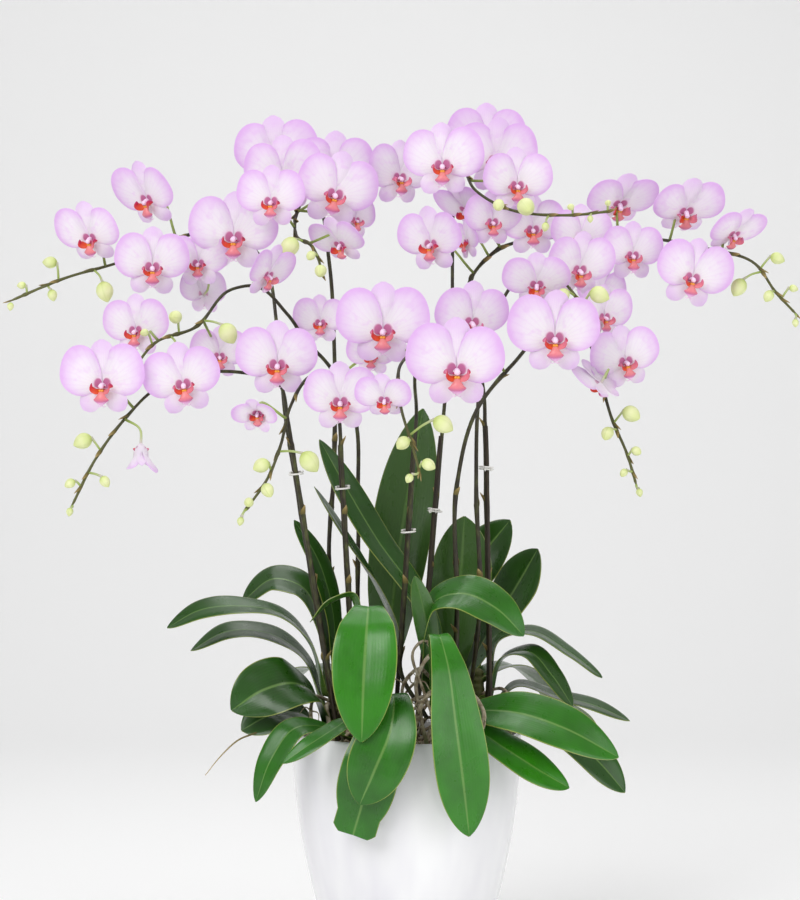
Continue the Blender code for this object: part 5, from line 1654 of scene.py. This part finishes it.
@dataclass
class Spike:
    """A flower spike: its lower stem's foliage points, its upper stem's flower points."""

    name: str
    crown: str
    foot: tuple
    lower: list
    upper: list
    blooms: list = field(default_factory=list)
    buds: list = field(default_factory=list)

    def route(self, steps: int) -> list[Vector]:
        """The stem's whole course."""
        points = [foliage(*self.foot), *self.lower, *[flower(*place) for place in self.upper]]
        return smooth_route(points, steps)

    def build(self) -> None:
        """Makes the stem, its scales, and each flower and bud on its stalk."""
        rng = random.Random(self.name)
        steps = 10
        route = self.route(steps)
        arching = len(self.lower) * steps + steps // 2
        joints = self.joints(route, arching)
        self.stem(route, joints, rng)
        stalks, petals, lips, buds = Clay(), Clay(), Clay(), Clay()
        for bloom in self.blooms:
            self.pedicel(stalks, bloom, route[arching:], rng)
            bloom.tepals(petals, rng)
            bloom.lip(lips, rng)
        for bud in self.buds:
            self.bud(stalks, buds, bud, route[arching:], rng)
        short = self.name.replace("spike_", "")
        stalks.piece(f"pedicels_{short}", PedicelSkin())
        petals.piece(f"tepals_{short}", PetalTissue(), (), 60.0)
        lips.piece(f"lips_{short}", LipTissue(), (), 60.0)
        buds.piece(f"buds_{short}", BudSkin())

    def joints(self, route: list[Vector], arching: int) -> list[int]:
        """The stem's joints: evenly spaced below, and where each stalk leaves above.

        Args:
            route: Places along the stem.
            arching: The first of them that is on the arching part.

        Returns:
            The places' numbers, in order.
        """
        found = []
        run = 0.0
        for index in range(1, arching):
            run += (route[index] - route[index - 1]).length
            if run > JOINT_SPACING:
                found.append(index)
                run = 0.0
        hung = [bloom.centre() for bloom in self.blooms] + [flower(*bud[:3]) for bud in self.buds]
        for place in hung:
            found.append(min(range(arching, len(route)), key=lambda i: (route[i] - place).length))
        return sorted(set(found))

    def stem(self, route: list[Vector], joints: list[int], rng: random.Random) -> None:
        """Makes a stem that tapers, swells at its joints and carries a scale at each.

        Args:
            route: Places along the stem.
            joints: The numbers of those that are joints.
            rng: Turns each scale its own way.
        """
        last = len(route) - 1
        radii = []
        for index in range(last + 1):
            taper = STEM_RADIUS + (STEM_TIP_RADIUS - STEM_RADIUS) * index / last
            near = min(abs(index - joint) for joint in joints)
            radii.append(taper * (1.0 + 0.28 * math.exp(-(near / 1.2) ** 2)))
        radii[-1] *= 0.5
        clay = Clay()
        clay.tube(route, radii, 10)
        short = self.name.replace("spike_", "")
        clay.piece(f"stem_{short}", SpikeSkin(), (self.name,))
        scales = Clay()
        for joint in joints:
            heading = (route[min(joint + 1, last)] - route[max(joint - 1, 0)]).normalized()
            turn = rng.uniform(0, 6.3)
            side = heading.cross(Vector((math.cos(turn), math.sin(turn), 0.3))).normalized()
            out = side.cross(heading).normalized()
            wide = radii[joint]
            base = route[joint]
            # A scale's course: how far out of the stem, in stem radii, and how far up it.
            places = [base + out * wide * away + heading * up
                      for away, up in ((0.75, -0.001), (1.25, 0.003), (1.9, 0.0065), (2.3, 0.0095))]
            course = smooth_route(places, 2)
            halves = [wide * share for share in (1.0, 1.15, 1.1, 0.9, 0.65, 0.35, 0.1)]
            scales.ribbon(course, side, halves, 7, -0.9, 0.0006, thin_edge=0.6, tone=rng.random())
        scales.piece(f"bracts_{short}", PaperyBract())

    def pedicel(self, clay: Clay, bloom: Bloom, stem: list[Vector], rng: random.Random) -> None:
        """Adds a fleshy stalk from the stem's nearest joint to the flower's back.

        Args:
            clay: Where it is added.
            bloom: The flower.
            stem: Places along the arching part of the stem.
            rng: Gives the stalk's own shade.
        """
        width = FLOWER_WIDTH * bloom.size
        behind = bloom.centre() - bloom.facing() * STANDOFF * width + UP * STALK_RISE
        start = min(stem, key=lambda spot: (spot - behind).length)
        end = bloom.centre() - bloom.facing() * 0.030 * width
        route = smooth_route([start, behind, end], 8)
        radii = [0.0015 - 0.0003 * math.sin(math.pi * i / 16) for i in range(16)] + [0.0021]
        clay.tube(route, radii, 8, tone=rng.random() * 0.5)

    def bud(self, stalks: Clay, buds: Clay, drawn: tuple, stem: list[Vector],
            rng: random.Random) -> None:
        """Adds a three-seamed bud that hangs from its curved stalk.

        Args:
            stalks: Where its stalk is added.
            buds: Where the bud is added.
            drawn: Its drawn centre and its length in centimetres.
            stem: Places along the arching part of the stem.
            rng: Its own small differences.
        """
        x, y, z, length = drawn
        centre = flower(x, y, z)
        start = min(stem, key=lambda spot: (spot - centre).length)
        along = ((centre - start).normalized() - UP * BUD_DROOP).normalized()
        size = length * CM
        foot = centre - along * size * 0.46
        sag = along.cross(Vector((0.3, 1.0, 0.1))).normalized() * rng.uniform(-0.002, 0.002)
        middle = start.lerp(foot, 0.5) + sag
        if (foot - start).length > 0.002:
            route = smooth_route([start, middle, foot + along * size * 0.04], 5)
            stalks.tube(route, [0.0012] * 8 + [0.0013, 0.0015, 0.0017], 7, tone=0.6 + 0.4 * rng.random())
        rows, sides = 16, 18
        turn = rng.uniform(0, 2)
        profile = [(0.0, 0.05), (0.06, 0.42), (0.18, 0.78), (0.36, 0.99), (0.52, 1.0), (0.70, 0.84),
                   (0.85, 0.55), (0.95, 0.26), (1.0, 0.06)]
        body = [foot + along * size * row / rows for row in range(rows + 1)]
        radii = [curve_value(profile, row / rows) * size * 0.5 * BUD_SLENDERNESS for row in range(rows + 1)]
        angles = np.arange(sides) / sides * 2 * math.pi
        seam = np.abs(np.sin(1.5 * (angles + turn)))
        across = np.append(np.tile(seam, rows + 1), [0.5, 0.5])
        buds.tube(body, radii, sides, lambda a: 0.955 + 0.055 * abs(math.sin(1.5 * (a + turn))) ** 0.6,
                  across=across, tone=rng.random())


SPIKES = [
    Spike("spike_upper_left", "crown_left", (-7.4, -0.9, 25.0),
          STICK["stick_left"].tied_stem(far_side=True),
          [(-13.5, -1.0, 66.0), (-15.5, 2.0, 74.0), (-19.0, 3.6, 77.0), (-24.5, 3.6, 76.0),
           (-30.0, 2.0, 73.5), (-36.0, 0.0, 71.5), (-41.5, 0.0, 69.2)],
          [Bloom((-18.2, 0.8, 75.6), 1.15, -5), Bloom((-22.0, 1.6, 73.0), 0.8, -10),
           Bloom((-26.6, -1.0, 72.4), 1.0, 5), Bloom((-27.6, 3.4, 79.9), 1.0, -38, 28),
           Bloom((-33.2, -0.5, 75.5), 0.95, -22, 30), Bloom((-21.8, 5.0, 70.0), 0.7, -150)],
          [(-37.4, 0.0, 73.2, 1.6), (-37.2, 0.0, 69.8, 1.3), (-40.4, 0.0, 70.8, 1.0),
           (-41.6, 0.0, 68.6, 0.9), (-31.7, 0.0, 70.2, 2.3)]),
    Spike("spike_middle_left", "crown_back_left", (-4.4, 6.6, 26.0),
          [foliage(-5.2, 6.4, 36.0), foliage(-5.2, 6.0, 48.0)],
          [(-5.8, 4.6, 58.0), (-8.2, 2.4, 62.4), (-10.6, -0.6, 65.0), (-12.4, -3.6, 67.6),
           (-15.6, -5.0, 70.4), (-18.0, -5.6, 70.0), (-21.6, -7.4, 66.0), (-25.6, -8.2, 64.4),
           (-27.8, -9.0, 61.6)],
          [Bloom((-28.0, -4.6, 65.6), 0.9, -15), Bloom((-19.4, -3.6, 63.0), 0.75, 10),
           Bloom((-14.2, -6.6, 71.2), 0.8, 50, 30), Bloom((-9.0, -1.6, 66.6), 0.7, -5)],
          [(-18.2, -8.4, 65.4, 2.4), (-23.5, -8.6, 67.0, 1.7), (-23.3, -9.0, 63.4, 1.3),
           (-26.6, -9.0, 65.4, 1.0), (-27.9, -9.4, 60.6, 0.9)]),
    Spike("spike_lower_left", "crown_front_left", (-5.9, -4.8, 25.0),
          STICK["stick_left"].tied_stem(),
          [(-13.2, -6.0, 60.4), (-17.0, -8.4, 61.4), (-21.0, -10.4, 61.2), (-25.0, -11.4, 59.8),
           (-28.2, -12.6, 56.6), (-31.0, -13.6, 52.6), (-33.2, -14.6, 48.0)],
          [Bloom((-13.0, -11.6, 61.8), 1.05), Bloom((-22.2, -14.0, 59.8), 1.0, 5, 8, 10),
           Bloom((-30.2, -14.6, 59.8), 1.05, -8), Bloom((-26.4, -14.4, 53.8), 0.72, 10, 75,
                 opening=Opening.BELL)],
          [(-32.2, -13.6, 54.4, 2.0), (-30.0, -14.2, 50.4, 1.3), (-33.4, -14.4, 50.2, 1.2),
           (-33.4, -14.8, 47.4, 0.9)]),
    Spike("spike_centre_left", "crown_front_left", (-4.6, -3.2, 25.6),
          STICK["stick_centre_left"].tied_stem(),
          [(-8.0, -8.6, 60.6), (-10.0, -13.0, 60.6), (-11.6, -15.4, 57.6), (-12.4, -17.0, 54.0),
           (-13.6, -18.0, 50.8), (-15.6, -18.8, 47.8)],
          [Bloom((-6.6, -16.0, 58.0), 0.95), Bloom((-14.6, -18.4, 57.0), 0.7, -10, 35,
                                                     opening=Opening.HALF),
           Bloom((-3.6, -9.0, 62.8), 0.65, -10)],
          [(-9.6, -17.4, 52.4, 2.4), (-14.2, -18.2, 52.0, 1.8), (-13.6, -18.9, 49.6, 1.6),
           (-15.4, -19.2, 48.4, 1.2), (-16.2, -19.2, 46.6, 0.9)]),
    Spike("spike_centre", "crown_front_right", (2.0, -4.9, 26.0),
          STICK["stick_centre"].tied_stem(),
          [(0.8, -9.0, 60.0), (0.6, -14.0, 63.0), (-0.8, -18.0, 61.4), (-0.6, -20.4, 57.6),
           (0.4, -21.0, 54.2), (1.2, -21.6, 51.4)],
          [Bloom((-2.4, -12.4, 65.2), 1.15, -3), Bloom((4.8, -20.0, 61.0), 1.2, 3),
           Bloom((-2.2, -20.6, 58.2), 0.7, -8, 35)],
          [(3.4, -20.6, 56.0, 2.2), (-0.4, -21.4, 54.2, 1.6), (2.0, -21.8, 52.1, 1.5),
           (0.2, -22.0, 50.8, 1.0)]),
    Spike("spike_top_left", "crown_back_left", (-4.0, 5.0, 26.4),
          [foliage(-8.2, 6.2, 40.0), foliage(-7.8, 7.2, 52.0)],
          [(-7.8, 8.0, 64.0), (-8.4, 8.8, 74.0), (-9.6, 9.6, 80.5), (-10.7, 8.8, 82.3),
           (-11.5, 5.6, 79.6), (-11.8, 1.4, 77.4), (-11.3, -1.5, 75.6), (-9.8, -2.9, 74.6),
           (-9.1, -3.4, 73.1), (-8.8, -3.6, 71.8)],
          [Bloom((-7.6, 1.0, 80.2), 1.1, 8, 8, -12), Bloom((-7.7, 6.2, 82.9), 1.1, 5),
           Bloom((-14.1, -2.8, 79.1), 0.9, -8), Bloom((-13.2, 3.5, 82.1), 1.1, -10),
           Bloom((-14.2, 7.5, 84.5), 1.15, -5), Bloom((-7.0, 0.0, 74.9), 0.8, -30, 45),
           Bloom((-5.4, 3.5, 77.8), 0.65, 35)],
          [(-12.1, -3.4, 74.6, 2.4), (-9.9, -4.0, 73.6, 1.2), (-8.9, -4.2, 72.0, 1.6)]),
    Spike("spike_upper_right", "crown_back_right", (3.4, 5.6, 26.4),
          STICK["stick_centre_right"].tied_stem(),
          [(4.8, 5.6, 66.0), (5.0, 7.6, 76.0), (5.2, 7.6, 82.6), (5.8, 4.4, 84.6),
           (6.2, 0.0, 83.0), (7.0, -3.0, 80.6), (10.2, -5.0, 78.4), (16.6, -5.8, 77.6),
           (21.0, -6.0, 78.0)],
          [Bloom((3.7, -2.2, 82.9), 1.05), Bloom((9.6, 3.5, 84.0), 1.1, 5),
           Bloom((8.7, 8.4, 86.2), 1.1, 3), Bloom((11.5, -2.2, 80.8), 0.95, 10),
           Bloom((-0.7, 4.0, 82.3), 0.95, 25)],
          [(9.4, -6.4, 78.6, 1.5), (12.2, -6.4, 78.4, 2.3), (14.2, -6.2, 76.4, 1.0),
           (16.8, -6.2, 78.4, 0.9), (18.8, -6.2, 77.2, 0.8), (20.6, -6.4, 78.8, 0.8)]),
    Spike("spike_far_right", "crown_right", (8.4, 1.2, 26.0),
          STICK["stick_right"].tied_stem(),
          [(7.0, 1.4, 66.0), (6.8, 3.0, 71.6), (9.4, 3.4, 74.6), (16.4, 3.4, 76.2),
           (24.0, 3.2, 76.2), (31.6, 1.6, 74.8), (36.6, -0.2, 73.0), (38.6, -1.0, 70.0),
           (40.6, -1.2, 67.8)],
          [Bloom((2.5, -2.2, 74.7), 0.95, -28, 15), Bloom((9.0, -0.2, 77.2), 0.8, 15),
           Bloom((13.3, 0.8, 76.5), 0.9, 5), Bloom((6.3, 3.2, 78.9), 0.85, -40, 50),
           Bloom((6.3, 1.4, 75.3), 0.6, -60), Bloom((18.4, 0.6, 75.6), 0.85, 5),
           Bloom((22.8, 4.8, 79.6), 1.0, 15, 50), Bloom((29.7, 3.0, 78.6), 1.0, 10, 42),
           Bloom((34.4, 0.4, 76.0), 0.85, 30, 50), Bloom((29.6, -3.0, 71.1), 1.0, 10, 8, -12),
           Bloom((23.6, -1.6, 73.6), 0.85, 8)],
          [(34.8, -0.6, 70.6, 2.1), (38.8, -0.6, 73.6, 1.6), (37.8, -1.4, 69.6, 1.4),
           (40.4, -1.2, 70.4, 1.0), (40.6, -1.4, 66.8, 0.9)]),
    Spike("spike_middle_right", "crown_right", (6.6, 1.4, 27.0),
          [foliage(7.6, -3.2, 38.0), foliage(7.2, -3.2, 50.0)],
          [(7.6, -2.4, 60.0), (9.0, -1.2, 67.0), (11.6, -1.4, 71.4), (14.0, -4.4, 72.2),
           (16.2, -7.6, 70.4), (18.4, -9.6, 67.0)],
          [Bloom((13.2, -8.4, 70.1), 0.85, -5, 35), Bloom((17.8, -5.0, 71.8), 0.95, 20, 20),
           Bloom((14.8, -12.4, 64.4), 1.15)],
          [(15.8, -9.8, 69.2, 1.6), (19.4, -9.8, 69.2, 2.2), (19.0, -10.2, 66.0, 1.3)]),
    Spike("spike_lower_right", "crown_front_right", (5.0, -4.3, 26.6),
          [foliage(5.2, -3.8, 38.0), foliage(5.2, -4.0, 50.0)],
          [(7.2, -5.0, 57.6), (11.0, -3.4, 62.4), (15.0, -1.4, 66.0), (18.2, -2.6, 65.4),
           (19.8, -5.6, 61.0), (21.0, -6.8, 56.6), (22.4, -7.6, 53.2), (23.3, -8.4, 50.0)],
          [Bloom((6.6, -9.0, 66.2), 1.0, 15, 20), Bloom((20.4, -4.6, 67.0), 0.8, 30),
           Bloom((20.6, 0.2, 69.6), 0.7, 20), Bloom((22.4, -7.4, 62.3), 0.9, 15, 10, 12),
           Bloom((19.5, -9.6, 60.1), 0.75, -130, 45)],
          [(22.8, -8.0, 57.2, 2.1), (20.4, -8.2, 55.2, 1.6), (23.3, -8.4, 53.4, 1.2),
           (22.0, -8.8, 51.2, 1.0), (23.6, -8.8, 49.2, 0.9)]),
]


# Studio

@dataclass
class Studio:
    """White paper, three soft lamps and the camera."""

    distance: float = 2.6
    eye_level: float = 0.535
    eye_side: float = -0.007
    view_height: float = 0.945

    def build(self) -> None:
        """Sets up everything round the plant."""
        paper = self.paper()
        lamps = [self.lamp("key", (-1.5, -2.3, 2.3), 2.0, 58.0),
                 self.lamp("fill", (2.2, -1.9, 1.2), 2.2, 26.0),
                 self.lamp("top", (0.2, 0.6, 2.9), 2.0, 30.0)]
        self.world()
        self.camera()

    def paper(self) -> bpy.types.Object:
        """Hangs a sheet that runs from the floor up behind the plant in one sweep.

        Returns:
            The sheet.
        """
        profile = [(-6.0, 0.0), (1.9, 0.0)]
        for step in range(1, 13):
            angle = math.pi / 2 * step / 12
            profile.append((1.9 + 1.0 * math.sin(angle), 1.0 - 1.0 * math.cos(angle)))
        profile.append((2.9, 5.0))
        half = 7.0
        points = [(x, y, z - 0.0005) for y, z in profile for x in (-half, half)]
        faces = [(2 * i, 2 * i + 1, 2 * i + 3, 2 * i + 2) for i in range(len(profile) - 1)]
        mesh = bpy.data.meshes.new("studio_paper")
        mesh.from_pydata(points, [], faces)
        mesh.shade_smooth()
        mesh.materials.append(SeamlessPaper().material())
        sheet = bpy.data.objects.new("studio_paper", mesh)
        bpy.context.scene.collection.objects.link(sheet)
        return sheet

    def lamp(self, name: str, place: tuple, size: float, power: float) -> bpy.types.Object:
        """A square soft box that looks at the middle of the plant.

        Args:
            name: Its name.
            place: Where it hangs, in metres.
            size: The length of its side.
            power: Its power in watts.

        Returns:
            The lamp.
        """
        light = bpy.data.lights.new(f"studio_{name}", "AREA")
        light.size = size
        light.energy = power
        item = bpy.data.objects.new(f"studio_{name}", light)
        item.location = place
        item.rotation_euler = (Vector((0.0, 0.0, 0.5)) - Vector(place)).to_track_quat("-Z", "Y").to_euler()
        bpy.context.scene.collection.objects.link(item)
        return item

    def world(self) -> None:
        """Even white light from all round."""
        world = bpy.data.worlds.new("studio_air")
        world.use_nodes = True
        air = world.node_tree.nodes["Background"]
        air.inputs["Color"].default_value = linear("#ffffff")
        air.inputs["Strength"].default_value = 0.36
        bpy.context.scene.world = world
        bpy.context.scene.view_settings.view_transform = "Standard"

    def camera(self) -> None:
        """A level camera in front of the plant, which cuts the pot below its middle."""
        lens = bpy.data.cameras.new("studio_camera")
        lens.sensor_fit = "VERTICAL"
        lens.sensor_height = 24.0
        lens.lens = lens.sensor_height * self.distance / self.view_height
        item = bpy.data.objects.new("studio_camera", lens)
        item.location = (self.eye_side, -self.distance, self.eye_level)
        item.rotation_euler = (math.pi / 2, 0.0, 0.0)
        bpy.context.scene.collection.objects.link(item)
        bpy.context.scene.camera = item


def main() -> None:
    """Builds the pot, the plants and the studio in order."""
    logging.basicConfig(level=logging.INFO, format="%(name)s %(message)s")
    Pot().build()
    PottingMedium().build()
    for stick in STICKS:
        stick.build()
    for name in CROWNS:
        Crown(name).build()
    AerialRoots().build()
    for leaf in LEAVES + YOUNG_LEAVES:
        leaf.build()
    DryLeafTip().build()
    for spike in SPIKES:
        spike.build()
    Studio().build()


if __name__ == "__main__":
    main()
